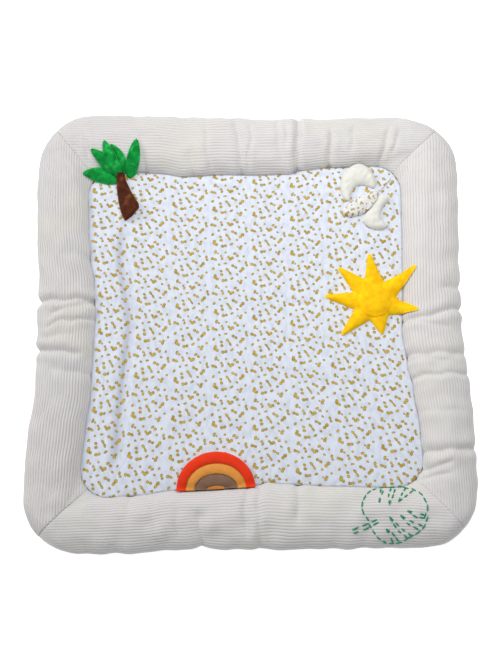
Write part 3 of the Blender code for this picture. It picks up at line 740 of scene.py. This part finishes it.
def borderSide(side, seed):
    look = borderLook
    out, run, padHalf, matHalf, alongPad, alongMat = sideFrame(side)
    width = matHalf - padHalf
    straightHalf = alongPad - plan["padCorner"]
    steps = int(2 * straightHalf / look["step"])
    straight = np.linspace(-straightHalf, straightHalf, steps + 1)
    ends = np.linspace(0.0, 1.0, look["cornerSteps"] + 1)[1:]
    corner = np.full(ends.size, straightHalf)
    along = np.concatenate([-corner, straight, corner])[None, :]
    endShare = np.concatenate([ends[::-1], np.zeros(straight.size), ends])[None, :]
    angle = rowAngles(width)[:, None]

    share = np.where(angle < math.pi, rollPoint(angle, width, 0.0)[0] / width, 1.0)
    where, back, turn = placeOnRow(along, endShare, share, alongPad, alongMat, straightHalf)
    crown = readTable(sideShape[side], 3, where / mm) * mm
    outPlace, height = rollPoint(angle, width, crown)
    before = rollPoint(np.maximum(angle - 0.01, 0.0), width, crown)
    after = rollPoint(np.minimum(angle + 0.01, 1.5 * math.pi), width, crown)
    runX, runZ = after[0] - before[0], after[1] - before[1]
    length = np.hypot(runX, runZ)
    normalX, normalZ = -runZ / length, runX / length

    fade = ease((math.radians(look["fadeEnd"]) - angle) / look["fadeOver"])
    dip = look["mitreDip"] * np.exp(-(1.0 - endShare) * plan["matCorner"] / look["dipReach"])
    cloud = look["cloud"] * waves(where, share * width * 1.3, 70 * mm, seed) * ease(angle / 0.5)
    cloud = cloud * (1.0 - endShare ** 3)
    push = (cloud - dip - creaseDepth(side, where, share)) * fade
    spread = sideways(turn, endShare)
    sign = np.where(where < 0, -1.0, 1.0)

    def inPlan(share, outward, back, turn, spread, where, sign):
        across = padHalf + share * width - back + outward * np.cos(turn)
        beside = where + outward * spread * sign
        return across, beside

    outward = outPlace - share * width + push * normalX
    across, beside = inPlan(share, outward, back, turn, spread, where, sign)
    plainOut, plainHeight = rollPoint(angle, width, 0.0)
    plainAcross = padHalf + share * width - back + (plainOut - share * width) * np.cos(turn)
    plainHeight = plainHeight + 0.0 * where
    lengths = np.hypot(np.diff(plainAcross, axis=0), np.diff(plainHeight, axis=0))
    ribPlace = np.vstack([np.zeros((1, lengths.shape[1])), np.cumsum(lengths, axis=0)])
    ribPlace = ribPlace + look["ribPitch"] / 2 - back[:1]  # ribs run straight on to the mitre
    cloth = np.stack([beside, ribPlace], axis=-1)
    ribPlace = ribPlace + look["wander"] * waves(beside, ribPlace, 45 * mm, seed + 5)

    # plain rows under the roll: share of the way out, step, height
    rows = [(0.5, 0.0, 0.0), (0.0, 4 * mm, 0.0), (0.0, 0.0, 4 * mm), (0.0, 0.0, 12 * mm)]
    firsts, lasts = [], []
    for rowShare, step, rowHeight in rows + [(1.0, -look["under"], 0.0)]:
        rowShare = np.full((1, 1), rowShare)
        w, b, t = placeOnRow(along, endShare, rowShare, alongPad, alongMat, straightHalf)
        rowSign = np.where(w < 0, -1.0, 1.0)
        row = inPlan(rowShare, step, b, t, sideways(t, endShare), w, rowSign)
        made = (*row, np.full(w.shape, rowHeight))
        (lasts if step < 0 else firsts).append(made)

    def stacked(middle, index):
        return np.vstack([row[index] for row in firsts] + [middle] + [row[index] for row in lasts])

    across, beside = stacked(across, 0), stacked(beside, 1)
    height = np.maximum(0.0, stacked(height + push * normalZ, 2))
    flat = out[:, None, None] * across + run[:, None, None] * beside
    x, y = drawIn(flat[0], flat[1])
    points = np.stack([x, y, height], axis=-1).transpose(1, 0, 2)

    pad = ((len(firsts), len(lasts)), (0, 0))
    ribPlace = np.pad(ribPlace, pad, mode="edge")
    pushOut = normalX * np.cos(turn) * fade
    pushBeside = normalX * spread * sign * fade
    vector = out[:, None, None] * pushOut + run[:, None, None] * pushBeside
    vector = np.stack([vector[0], vector[1], normalZ * fade + 0.0 * vector[0]], axis=-1)
    vector = np.pad(vector, pad + ((0, 0),)).transpose(1, 0, 2)
    cloth = np.pad(cloth, pad + ((0, 0),), mode="edge").transpose(1, 0, 2)

    facts = {"ribPlace": ribPlace.T[..., None], "ribPush": vector}
    faces = ringFaces(*points.shape[:2])
    plain = meshFrom(side + "Plain", points, faces, corduroy, facts, cloth)
    for mitre in list(plain.data.polygons)[-2:]:  # the cut ends stay flat
        mitre.use_smooth = False
    values = {
        "Pitch": look["ribPitch"],
        "Height": look["ribHeight"][side],
        "Fullness": look["ribFullness"],
        "Material": corduroy,
    }
    return runTree(plain, ribs, values, side + "Border")


ribs = ribTree()
border = {}
for seed, side in enumerate(sideShape):
    border[side] = borderSide(side, 11 + 10 * seed)
print("border is sewn:", sum(len(piece.data.polygons) for piece in border.values()), "faces")


# ---- printed pad
padLook = {
    "cells": 256,
    "rimInset": 2.5 * mm,
    "height": 30.6,
    "rimDrop": (2.2, 3.5),
    "slope": (5.0, 30.0),
    "foldInset": 78.0,
    "foldWidth": 11.0,
    "foldDepth": 7.0,
    "foldSway": 4.0,
    "foldEnds": (-330, 240),
    "foldFade": 60,
    "foldPuffs": ((24, 13, 0.35), (-22, 12, 0.25)),
    "loose": (4, 40),
    "cloud": 0.8,
    "grain": 0.22,
    "grainStretch": 0.45,
    "seam": (5, 6),
    "pucker": 0.9,
    "crowding": 1.12,
    "underside": (0.7, 0.4, 0.1, 0.01),
    "rim": ((1.0, 22.6), (0.0, 20.6), (0.0, 11.0), (0.0, 3.0), (4.0, 0.0)),
}


def padPlan(a, b, inset):  # a, b from -1 to 1 over the pad, which is this far in at its rim
    ring = np.maximum(np.maximum(abs(a), abs(b)), 1e-9)
    halfX = (plan["padHalfX"] - plan["padGap"] - inset) * ring
    halfY = (plan["padHalfY"] - plan["padGap"] - inset) * ring
    radius = (plan["padCorner"] - plan["padGap"] - inset) * ring
    upright = abs(a) >= abs(b)
    minor = np.where(upright, b, a) / ring
    outHalf = np.where(upright, halfX, halfY)
    alongHalf = np.where(upright, halfY, halfX)
    straight = alongHalf - radius
    bend = straight / (straight + radius * math.pi / 4)
    turn = np.clip((abs(minor) - bend) / (1 - bend), 0.0, 1.0) * math.pi / 4
    where = np.minimum(abs(minor) / bend, 1.0) * straight + radius * np.sin(turn)
    reach = outHalf - radius * (1 - np.cos(turn))
    where, reach = where * np.sign(minor), reach * np.where(np.where(upright, a, b) < 0, -1.0, 1.0)
    return np.where(upright, reach, where), np.where(upright, where, reach)


def padFold(x, y):  # soft trough where the pad was folded, beside the left border
    look = padLook
    sway = look["foldSway"] * waves(y, 0.0, 300 * mm, 3)
    fold = (x + plan["padHalfX"]) / mm - look["foldInset"] - sway
    low, high = look["foldEnds"]
    return fold, ease((y / mm - low) / look["foldFade"]) * ease((high - y / mm) / look["foldFade"])


def padHeight(x, y, inset):
    look = padLook
    inset = inset / mm
    height = look["height"] - look["rimDrop"][0] * np.exp(-inset / look["rimDrop"][1])
    height = height - look["slope"][0] * np.exp(-inset / look["slope"][1])
    fold, span = padFold(x, y)
    dent = np.exp(-((fold / look["foldWidth"]) ** 2))
    for place, width, share in look["foldPuffs"]:
        dent = dent - share * np.exp(-(((fold - place) / width) ** 2))
    height = height - look["foldDepth"] * span * dent
    free = ease((inset - look["loose"][0]) / look["loose"][1])
    height = height + look["cloud"] * free * waves(x, y, 95 * mm, 7)
    height = height + look["grain"] * free * waves(x, y * look["grainStretch"], 17 * mm, 8)
    seam = np.exp(-((inset - look["seam"][0]) / look["seam"][1]) ** 2)
    return height - look["pucker"] * seam * (0.5 + 0.5 * waves(x, y, 13 * mm, 9))


def printedPad():
    look = padLook
    count = look["cells"] + 1
    line = np.linspace(-1.0, 1.0, count)
    line = np.sign(line) * (1 - (1 - abs(line)) ** look["crowding"])
    a, b = np.meshgrid(line, line, indexing="ij")
    plainX, plainY = padPlan(a, b, look["rimInset"])
    inset = look["rimInset"] + (1 - np.maximum(abs(a), abs(b))) * plan["padHalfX"]
    x, y = drawIn(plainX, plainY)
    points = np.stack([x, y, padHeight(plainX, plainY, inset) * mm], axis=-1)
    index = np.arange(count * count).reshape(count, count)
    quads = np.stack([index[:-1, :-1], index[1:, :-1], index[1:, 1:], index[:-1, 1:]], axis=-1)
    faces = quads.reshape(-1, 4).tolist()
    edge = [index[:-1, 0], index[-1, :-1], index[:0:-1, -1], index[0, :0:-1]]
    edge = np.concatenate(edge)
    edgeA, edgeB = a.ravel()[edge], b.ravel()[edge]
    cloth = np.stack([plainX, plainY], axis=-1).reshape(-1, 2)
    printed = np.ones(count * count)
    points = points.reshape(-1, 3)
    rings = []
    for rimInset, height in look["rim"]:
        rimX, rimY = padPlan(edgeA, edgeB, rimInset * mm)
        x, y = drawIn(rimX, rimY)
        ring = np.stack([x, y, np.full(x.shape, height * mm)], axis=-1)
        flat = np.stack([rimX, rimY], axis=-1)
        rings.append((ring, flat, 1.0 if height > 5.0 else 0.0))
    rings += [(ring * share, flat * share, 0.0) for share in look["underside"]]  # no print there
    last = edge
    for ring, flat, shown in rings:
        own = np.arange(len(points), len(points) + len(ring))
        faces += np.stack([last, own, np.roll(own, -1), np.roll(last, -1)], axis=-1).tolist()
        points = np.vstack([points, ring])
        cloth = np.vstack([cloth, flat])
        printed = np.append(printed, np.full(len(ring), shown))
        last = own
    faces.append(last.tolist())
    fold, span = padFold(cloth[:, 0], cloth[:, 1])
    # where the painted shade of the fold trough goes
    trough = np.exp(-(((fold + 4) / 10) ** 2)) * span * printed
    facts = {"printed": printed[:, None], "trough": trough[:, None]}
    return meshFrom("printedPad", points, faces, muslin, facts, cloth)


pad = printedPad()
print("pad is quilted:", len(pad.data.polygons), "faces")


# ---- what lies under a sewn-on piece, as a map of heights
bedLook = {"half": 0.5, "step": 2 * mm, "feel": 5 * mm, "soft": 22 * mm, "gap": 0.3 * mm}


class Bed:
    def __init__(self, look):
        self.look = look
        self.count = int(round(2 * look["half"] / look["step"])) + 1
        self.height = np.zeros((self.count, self.count))

    def lay(self, *pieces):
        graph = bpy.context.evaluated_depsgraph_get()
        half, step = self.look["half"], self.look["step"]
        down = Vector((0.0, 0.0, -1.0))
        for piece in pieces:
            tree = BVHTree.FromObject(piece, graph)
            corners = np.array([corner[:2] for corner in piece.bound_box])
            low = np.floor((corners.min(0) + half) / step).astype(int)
            high = np.ceil((corners.max(0) + half) / step).astype(int)
            for i in range(max(low[0], 0), min(high[0] + 1, self.count)):
                for j in range(max(low[1], 0), min(high[1] + 1, self.count)):
                    hit = tree.ray_cast(Vector((i * step - half, j * step - half, 0.5)), down)[0]
                    if hit is not None and hit.z > self.height[i, j]:
                        self.height[i, j] = hit.z
        self.settle()

    def settle(self):
        reach = int(round(self.look["feel"] / self.look["step"]))
        top = self.height.copy()
        for i in range(-reach, reach + 1):
            for j in range(-reach, reach + 1):
                if i * i + j * j <= reach * reach:
                    top = np.maximum(top, np.roll(self.height, (i, j), (0, 1)))
        self.top = self.blur(top, 1)
        wide = int(round(self.look["soft"] / self.look["step"]))
        self.soft = self.blur(self.blur(self.height, wide // 2), wide // 2)

    def blur(self, field, reach):
        for axis in (0, 1):
            field = sum(np.roll(field, step, axis) for step in range(-reach, reach + 1))
            field = field / (2 * reach + 1)
        return field

    def read(self, field, x, y):
        i = np.clip((x + self.look["half"]) / self.look["step"], 0, self.count - 1.001)
        j = np.clip((y + self.look["half"]) / self.look["step"], 0, self.count - 1.001)
        low, side = i.astype(int), j.astype(int)
        i, j = i - low, j - side
        near = field[low, side] * (1 - j) + field[low, side + 1] * j
        far = field[low + 1, side] * (1 - j) + field[low + 1, side + 1] * j
        return near * (1 - i) + far * i

    def under(self, x, y):
        return self.read(self.top, x, y) + self.look["gap"]

    def lying(self, x, y):
        return self.read(self.soft, x, y)


bed = Bed(bedLook)
bed.lay(*border.values(), pad)
print("bed is felt")


# ---- filled plush pieces
stripLook = {
    "sections": 64,
    "across": 26,
    "below": 8,
    "sink": 4 * mm,
    "leastEdge": 1.2 * mm,
    "softEdge": 0.12,
    "gather": 1.45,
    "flatness": 2.3,
    "fullness": 0.62,
    "puff": 0.07,
    "pucker": 0.5 * mm,
    "puckerReach": 2.2 * mm,
    "edgeSheenPower": 3.5,
}


def filledStrip(name, lefts, rights, size, material, seed, rounding, swell=None):
    look = stripLook
    count = len(lefts)
    middle, half = (lefts + rights) / 2, (rights - lefts) / 2
    share = np.linspace(0.0, 1.0, count)
    if rounding:
        toEnd = np.minimum(share, 1 - share) / rounding
        half = half * np.sqrt(np.clip(1 - (1 - np.minimum(toEnd, 1)) ** 2, 0.02, 1))[:, None]
    widths = np.linalg.norm(half, axis=1)
    if swell is None:
        swell = (widths / widths.max()) ** 0.6
    thickness = (size[0] * mm * swell)[:, None]
    edge = np.maximum(look["leastEdge"], size[1] * thickness)
    over = np.cos(np.linspace(0.0, math.pi, look["across"]))
    under = np.linspace(-1.0, 1.0, look["below"] + 2)[1:-1]
    across = np.concatenate([under, over])[None, :]
    places = middle[:, None, :] + half[:, None, :] * across[..., None]
    x, y = places[..., 0], places[..., 1]
    floor = bed.under(x, y)
    soft = bed.lying(middle[:, 0], middle[:, 1])[:, None]
    full = (1 - abs(across) ** look["flatness"]) ** look["fullness"]
    length = np.concatenate([[0.0], np.cumsum(np.linalg.norm(np.diff(middle, axis=0), axis=1))])
    puff = 1 + look["puff"] * waves(x, y, 16 * mm, seed)
    near = widths[:, None] * (1 - abs(across))
    pucker = look["pucker"] * np.exp(-near / look["puckerReach"])
    pucker = pucker * waves(length[:, None], across, 5 * mm, seed + 1)
    raised = np.maximum(soft, floor - look["sink"]) + edge
    raised = raised + (thickness - edge) * full * puff + pucker
    top = np.maximum(floor + edge * 0.5 + look["leastEdge"] * full, raised)
    isTop = np.arange(across.shape[1])[None, :] >= look["below"]
    height = np.where(isTop, np.where(full > 1e-6, top, floor + edge), floor)
    points = np.stack([x, y, height], axis=-1)
    cloth = np.stack([length[:, None] + 0 * x, across * widths[:, None]], axis=-1) * look["gather"]
    # the edge fact drives the painted sheen near the sides
    edgeSheen = abs(across) ** look["edgeSheenPower"] + 0 * x
    facts = {"edge": edgeSheen[..., None], "printed": np.ones(x.shape)[..., None]}
    faces = ringFaces(*points.shape[:2])
    return meshFrom(name, points, faces, material, facts, cloth)


def pairedPiece(name, rows, size, material, seed, rounding):  # rows: x, y left, x, y right
    rows = smoothRows(rows, stripLook["sections"]) * mm
    return filledStrip(name, rows[:, :2], rows[:, 2:], size, material, seed, rounding)


def linePiece(name, rows, size, material, seed, rounding):  # rows: x, y, half width
    rows = smoothRows(rows, stripLook["sections"]) * mm
    run = np.gradient(rows[:, :2], axis=0)
    run = run / np.linalg.norm(run, axis=1)[:, None]
    side = np.stack([run[:, 1], -run[:, 0]], axis=-1) * rows[:, 2:3]
    return filledStrip(name, rows[:, :2] - side, rows[:, :2] + side, size, material, seed, rounding)


# Leaves of the palm: foot x, foot y, tip x, tip y, half width, bow, thickness
leaves = (
    (-287, 352, -318, 414, 10, 7, 9),
    (-302, 331, -381, 348, 17.5, 8, 14),
    (-305, 349, -363, 402, 14, 3, 13),
    (-277, 342, -259, 427, 15.5, 3, 14),
    (-295, 340, -333, 423, 14, -3, 15),
)
trunk = (
    (-301, 350, -287, 351),
    (-304, 334, -283, 335),
    (-304, 317, -275, 318),
    (-301, 296, -267, 302),
    (-297, 275, -260, 290),
    (-291, 254, -253, 279),
    (-281, 233, -251, 267),
)


leafLook = {"rows": 22, "fullest": 0.8, "lens": 0.62, "stalk": 0.42, "least": 0.10}


def palmLeaf(number, row):
    look = leafLook
    footX, footY, tipX, tipY, half, bow, thickness = row
    foot = np.array((footX, footY), float)
    run = np.array((tipX, tipY), float) - foot
    side = np.array((run[1], -run[0])) / np.linalg.norm(run)
    rows = []
    for share in np.linspace(0.0, 1.0, look["rows"]):
        lens = 0.0
        if 0 < share < 1:
            lens = math.sin(math.pi * share ** look["fullest"]) ** look["lens"]
        width = half * max(lens, look["stalk"] * (1 - share) ** 2, look["least"])
        rows.append((*(foot + run * share + side * bow * math.sin(math.pi * share)), width))
    size = (thickness, stripLook["softEdge"])
    return linePiece(f"leaf{number}", rows, size, plush["leaf_plush"], 20 + number, 0.06)


palm = []
for number, row in enumerate(leaves, 1):
    palm.append(palmLeaf(number, row))
    bed.lay(palm[-1])
softEdge = stripLook["softEdge"]
trunkPiece = pairedPiece("trunk", trunk, (17, softEdge), plush["trunk_plush"], 31, 0.03)
bed.lay(trunkPiece)
print("palm is sewn on")

# ---- moon toy
moonUpper = (
    (218, 286, 230, 284),
    (211, 302, 231, 296),
    (208, 322, 235, 308),
    (213, 346, 240, 317),
    (228, 366, 247, 322),
    (250, 375, 255, 324),
    (270, 370, 263, 324),
    (284, 353, 271, 321),
    (290, 333, 278, 318),
    (288, 319, 283, 316),
)
moonLower = (
    (303, 303, 322, 294),
    (295, 299, 314, 282),
    (289, 292, 306, 273),
    (275, 273, 301, 264),
    (262, 253, 299, 255),
    (256, 238, 299, 247),
    (267, 224, 301, 240),
    (284, 216, 305, 235),
    (300, 216, 310, 231),
    (312, 222, 315, 226),
)
moonTie = (
    (212, 259, 7),
    (223, 259, 13),
    (239, 266, 18.5),
    (257, 277, 20),
    (273, 289, 16),
    (285, 300, 9.5),
    (293, 306, 4),
)
moonStrap = ((296, 310, 3), (304, 321, 3.2), (313, 332, 3.5), (322, 343, 4))

moonPieces = [
    pairedPiece("moonTop", moonUpper, (15, softEdge), plush["moon_velour"], 41, 0.05),
    pairedPiece("moonBottom", moonLower, (15, softEdge), plush["moon_velour"], 43, 0.05),
]
bed.lay(*moonPieces)
tie = linePiece("moonTie", moonTie, (15, softEdge), tieMuslin, 45, 0.06)
bed.lay(tie)
strap = linePiece("moonStrap", moonStrap, (3.4, 0.6), tieMuslin, 47, 0.0)
bed.lay(strap)
print("moon toy is tied on")

# ---- sun
sunLook = {
    "x": 276,
    "y": 47,
    "tipRadius": 4.0,
    "thickness": 13,
    "faceRadius": 36,
    "faceThickness": 8,
    "rings": 26,
    "faceRings": 20,
    "facePoints": 120,
    "faceGather": 0.012,
    # ray bearing in degrees, ray reach, bearing of the valley after it, valley reach
    "rays": (
        (-13.3, 98, 12.4, 51),
        (40.3, 123, 62.4, 52),
        (93.6, 113, 109, 55),
        (133.9, 111, 154, 50),
        (173.1, 110, 202.7, 47),
        (226.2, 106, 256.6, 43),
        (283.1, 77, 317, 44),
    ),
}


def sunOutline(look):
    tip = look["tipRadius"]
    corners = []
    for bearing, reach, valleyBearing, valleyReach in look["rays"]:
        base = math.radians(bearing)
        for turn in (-1.25, -0.6, 0.0, 0.6, 1.25):
            x = (reach - tip) * math.cos(base) + tip * math.cos(base + turn)
            y = (reach - tip) * math.sin(base) + tip * math.sin(base + turn)
            corners.append((x, y))
        valley = math.radians(valleyBearing)
        corners.append((valleyReach * math.cos(valley), valleyReach * math.sin(valley)))
    corners = np.array(corners)
    after = np.roll(corners, -1, axis=0)
    lengths = np.linalg.norm(after - corners, axis=1)
    points = []
    for start, end, length in zip(corners, after, lengths):
        for part in np.linspace(0.0, 1.0, max(1, int(length / 2.6)), endpoint=False):
            points.append(start + (end - start) * part)
    points = np.array(points)
    for _ in range(2):
        points = 0.5 * points + 0.25 * (np.roll(points, 1, axis=0) + np.roll(points, -1, axis=0))
    return points * mm


def filledDisc(name, outline, rings, thickness, seed, profile):
    scales = np.cos(np.linspace(0.0, math.pi / 2, rings))[:-1]
    below = np.linspace(0.05, 0.98, 9)
    scale = np.concatenate([below, scales])[:, None]
    isTop = np.arange(len(scale))[:, None] >= len(below)
    x = sunCentre[0] + outline[None, :, 0] * scale
    y = sunCentre[1] + outline[None, :, 1] * scale
    floor = bed.under(x, y)
    middle = bed.lying(np.array([sunCentre[0]]), np.array([sunCentre[1]]))[0]
    full = profile(scale)
    puff = 1 + 0.05 * waves(x, y, 26 * mm, seed)
    lying = np.maximum(np.maximum(floor - stripLook["sink"], bed.lying(x, y)), middle * (1 - scale))
    edge = stripLook["leastEdge"]
    raised = np.maximum(lying + thickness * mm * full * puff, floor + edge * (1 + full))
    height = np.where(isTop, raised, floor)
    points = np.stack([x, y, height], axis=-1)
    # the edge fact drives the painted sheen near the rim
    edgeSheen = np.where(isTop, scale ** 14, 0.0) + 0 * x
    facts = {"edge": edgeSheen[..., None]}
    faces = ringFaces(*points.shape[:2])
    cloth = np.stack([x, y], axis=-1)
    return meshFrom(name, points, faces, plush["sun_plush"], facts, cloth)


def starProfile(scale):
    return np.clip(1 - scale ** 3.0, 0.0, 1.0) ** 0.55


def faceProfile(scale):  # a low dome with a shallow groove inside its rim
    dome = np.clip(1 - scale ** 3.0, 0.0, 1.0) ** 0.5
    return dome - 0.07 * np.exp(-(((scale - 0.82) / 0.07) ** 2))


sunCentre = (sunLook["x"] * mm, sunLook["y"] * mm)
starOutline = sunOutline(sunLook)
rings, thickness = sunLook["rings"], sunLook["thickness"]
star = filledDisc("sunStar", starOutline, rings, thickness, 51, starProfile)
bed.lay(star)
bearings = np.linspace(0.0, 2.0 * math.pi, sunLook["facePoints"], endpoint=False)
gathers = 1 + sunLook["faceGather"] * waves(bearings, 0.0, 0.5, 53)
faceOutline = np.stack([np.cos(bearings), np.sin(bearings)], axis=-1) * sunLook["faceRadius"] * mm
faceOutline = faceOutline * gathers[:, None]
rings, thickness = sunLook["faceRings"], sunLook["faceThickness"]
sunFace = filledDisc("sunFace", faceOutline, rings, thickness, 54, faceProfile)
bed.lay(sunFace)
print("sun is sewn on")

# ---- rainbow
rainbowLook = {
    "x": -71,
    "y": -365.0,
    "turn": 3.2,
    "sections": 80,
    "edge": 0.62,
    "tuck": 26.0,
    "apart": 0.3,
    "coreHalf": 0.985,
    "coreSections": 40,
    "least": 0.3,
    # piece, half width, rise, thickness, finish
    "bands": (
        ("rainbowRed", 84, 79, 12, "red_felt"),
        ("rainbowAmber", 64, 54, 11, "amber_felt"),
        ("rainbowBrown", 46, 32, 10, "brown_felt"),
        ("rainbowCore", 20, 8, 9, "core_felt"),
    ),
}


def onRainbow(x, y):
    look = rainbowLook
    turn = math.radians(look["turn"])
    across = x * math.cos(turn) - y * math.sin(turn)
    rise = x * math.sin(turn) + y * math.cos(turn)
    return np.stack([look["x"] + across, look["y"] + rise], axis=-1) * mm


def rainbowArc(halfWidth, rise):
    angle = np.linspace(0.0, math.pi, rainbowLook["sections"])
    return onRainbow(halfWidth * np.cos(angle), rise * np.sin(angle))


rainbow = []
bands, apart, least = (rainbowLook[key] for key in ("bands", "apart", "least"))
for index, (name, halfWidth, rise, thickness, finish) in enumerate(bands):
    if index + 1 < len(bands):
        lefts = rainbowArc(halfWidth, rise)
        rights = rainbowArc(bands[index + 1][1] + apart, bands[index + 1][2] + apart)
        rises = rise * np.sin(np.linspace(0.0, math.pi, len(lefts)))
        swell = least + 0.7 * ease(rises / rainbowLook["tuck"])  # flatter towards the seam
    else:
        coreHalf = rainbowLook["coreHalf"]
        share = np.linspace(-coreHalf, coreHalf, rainbowLook["coreSections"])
        lefts = onRainbow(share * halfWidth, 0.0 * share)
        rights = onRainbow(share * halfWidth, rise * np.sqrt(1 - share ** 2))
        swell = least + 0.3 * np.sqrt(1 - share ** 2)
    size = (thickness, rainbowLook["edge"])
    rainbow.append(filledStrip(name, lefts, rights, size, plush[finish], 60 + index, 0.0, swell))
print("rainbow is sewn on")

# ---- embroidered leaf
stitchLook = {
    "outline": 14.5 * mm,
    "slits": 12.5 * mm,
    "gap": 1.0 * mm,
    "thickness": 3.8 * mm,
    "lift": 0.35 * mm,
    "seed": 3,
    "colour": (0.003, 0.21, 0.095),
}

# Lines of the split leaf: two for the stem, then the outline, near points read in the photo
leafOutline = (
    ((220, -447), (236, -441), (260, -431)),
    ((263, -437), (239, -449), (221, -455)),
    ((245, -427), (236, -412), (236, -396), (245, -378), (260, -367), (279, -362)),
    ((303, -360), (317, -358), (331, -362)),
    ((347, -366), (360, -374), (368, -390), (371, -408), (365, -421)),
    ((369, -428), (363, -442), (351, -454), (335, -463)),
    ((325, -469), (307, -477), (287, -476), (273, -471), (260, -457), (250, -441)),
)
# Two lines for each slit
leafSlits = (
    ((277, -369), (273, -375), (272, -388)),
    ((280, -373), (278, -379), (273, -389)),
    ((298, -367), (293, -375), (292, -393)),
    ((306, -369), (301, -380), (294, -394)),
    ((328, -366), (321, -375), (314, -388)),
    ((341, -371), (326, -382), (316, -389)),
    ((359, -418), (347, -415), (334, -412)),
    ((358, -425), (345, -423), (333, -414)),
    ((355, -440), (339, -434), (319, -423)),
    ((345, -446), (327, -436), (318, -425)),
    ((333, -459), (317, -448), (295, -427)),
    ((324, -463), (307, -449), (294, -428)),
    ((296, -470), (291, -462), (286, -452)),
    ((307, -469), (300, -460), (288, -451)),
)


def stitchTree():  # lays small rounded stitches along the lines
    made = ShapeTree("runningStitch")
    pitch = made.ask("Pitch", "Float", 11 * mm)
    length = made.ask("Length", "Float", 7 * mm)
    thickness = made.ask("Thickness", "Float", 1.5 * mm)
    seed = made.ask("Seed", "Int", 3)
    material = made.ask("Material", "Material")
    values = {"Curve": made.start, "Length": pitch}
    line = made.add("GeometryNodeResampleCurve", {"mode": "LENGTH"}, values)
    tangent = made.add("GeometryNodeInputTangent", {}, {})
    turn = made.add("FunctionNodeAlignRotationToVector", {"axis": "X"}, {"Vector": tangent})
    values = {"Segments": 8, "Rings": 6, "Radius": 1.0}
    ball = made.add("GeometryNodeMeshUVSphere", {}, values)
    smooth = made.add("GeometryNodeSetShadeSmooth", {}, {"Geometry": ball})
    vary = {2: 0.8, 3: 1.15, "Seed": seed}
    longer = made.add("FunctionNodeRandomValue", {"data_type": "FLOAT"}, vary, 1)
    values = {"X": longer * length / 2, "Y": thickness / 2, "Z": thickness / 2}
    size = made.add("ShaderNodeCombineXYZ", {}, values)
    values = {"Points": line, "Instance": smooth, "Rotation": turn, "Scale": size}
    laid = made.add("GeometryNodeInstanceOnPoints", {}, values)
    made.close(laid, material)
    return made


def threadPaint(colour):
    paint = Paint("greenThread", Roughness=0.6)
    fine = paint.noise(paint.place(), 0.8 * mm, 2.0)
    lighter = tuple(c * 1.7 for c in colour)
    return paint.finish(paint.mix(paint.span(fine, 0.3, 0.75), colour, lighter), fine, 0.3 * mm)


def lineObject(name, lines):  # a poly curve that lies on the bed
    data = bpy.data.curves.new(name, "CURVE")
    data.dimensions = "3D"
    for line in lines:
        points = smoothRows(line, 10 * len(line)) * mm
        heights = bed.read(bed.height, points[:, 0], points[:, 1])
        around = np.pad(heights, 2, mode="edge")
        heights = np.maximum(heights, np.convolve(around, np.ones(5) / 5, "valid"))
        spline = data.splines.new("POLY")
        spline.points.add(len(points) - 1)
        for point, (x, y), z in zip(spline.points, points, heights):
            point.co = (x, y, z + stitchLook["lift"], 1.0)
    obj = bpy.data.objects.new(name, data)
    scene.collection.objects.link(obj)
    return obj


thread = threadPaint(stitchLook["colour"])
stitches = stitchTree()
embroidery = []
for part, lines in (("outline", leafOutline), ("slits", leafSlits)):
    values = {
        "Pitch": stitchLook[part] + stitchLook["gap"],
        "Length": stitchLook[part],
        "Thickness": stitchLook["thickness"],
        "Seed": stitchLook["seed"],
        "Material": thread,
    }
    name = "stitched" + part.capitalize()
    embroidery.append(runTree(lineObject(part + "Lines", lines), stitches, values, name))
print("leaf is embroidered")

# ---- floor
floorMesh = bpy.data.meshes.new("floor")
half = lightLook["floorHalf"]
corners = [(-half, -half, 0.0), (half, -half, 0.0), (half, half, 0.0), (-half, half, 0.0)]
floorMesh.from_pydata(corners, [], [(0, 1, 2, 3)])
floorMesh.materials.append(floorPaint(lightLook["floor"], lightLook["floorGlow"]))
floor = bpy.data.objects.new("floor", floorMesh)
scene.collection.objects.link(floor)

# ---- each piece goes on the root body, and the parts of the model that it stands for are hidden
declared = [(border[side], ("border_" + side,), "corduroy", 0.75) for side in sideShape]
declared.append((pad, ("middle_pad",), "printed_muslin", 0.4))
declared += [(piece, (f"palm_leaf_{n}",), "leaf_plush", 0.7) for n, piece in enumerate(palm, 1)]
declared += [
    (trunkPiece, ("palm_trunk",), "trunk_plush", 0.8),
    (moonPieces[0], ("moon_upper",), "moon_velour", 0.7),
    (moonPieces[1], ("moon_lower",), "moon_velour", 0.7),
    (tie, ("moon_tie",), "printed_muslin", 0.5),
    (strap, ("moon_strap",), "printed_muslin", 0.2),
    (star, ("sun_star",), "sun_plush", 0.7),
    (sunFace, ("sun_face",), "sun_plush", 0.6),
]
felts = (("red", "red"), ("amber", "amber"), ("brown", "brown"), ("core", "amber"))
for piece, (band, felt) in zip(rainbow, felts):
    declared.append((piece, ("rainbow_" + band,), felt + "_felt", 0.6))
for piece, nodes, slot, fill in declared:
    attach(piece, "root")
    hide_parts(*nodes)
for piece in embroidery:
    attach(piece, "root")
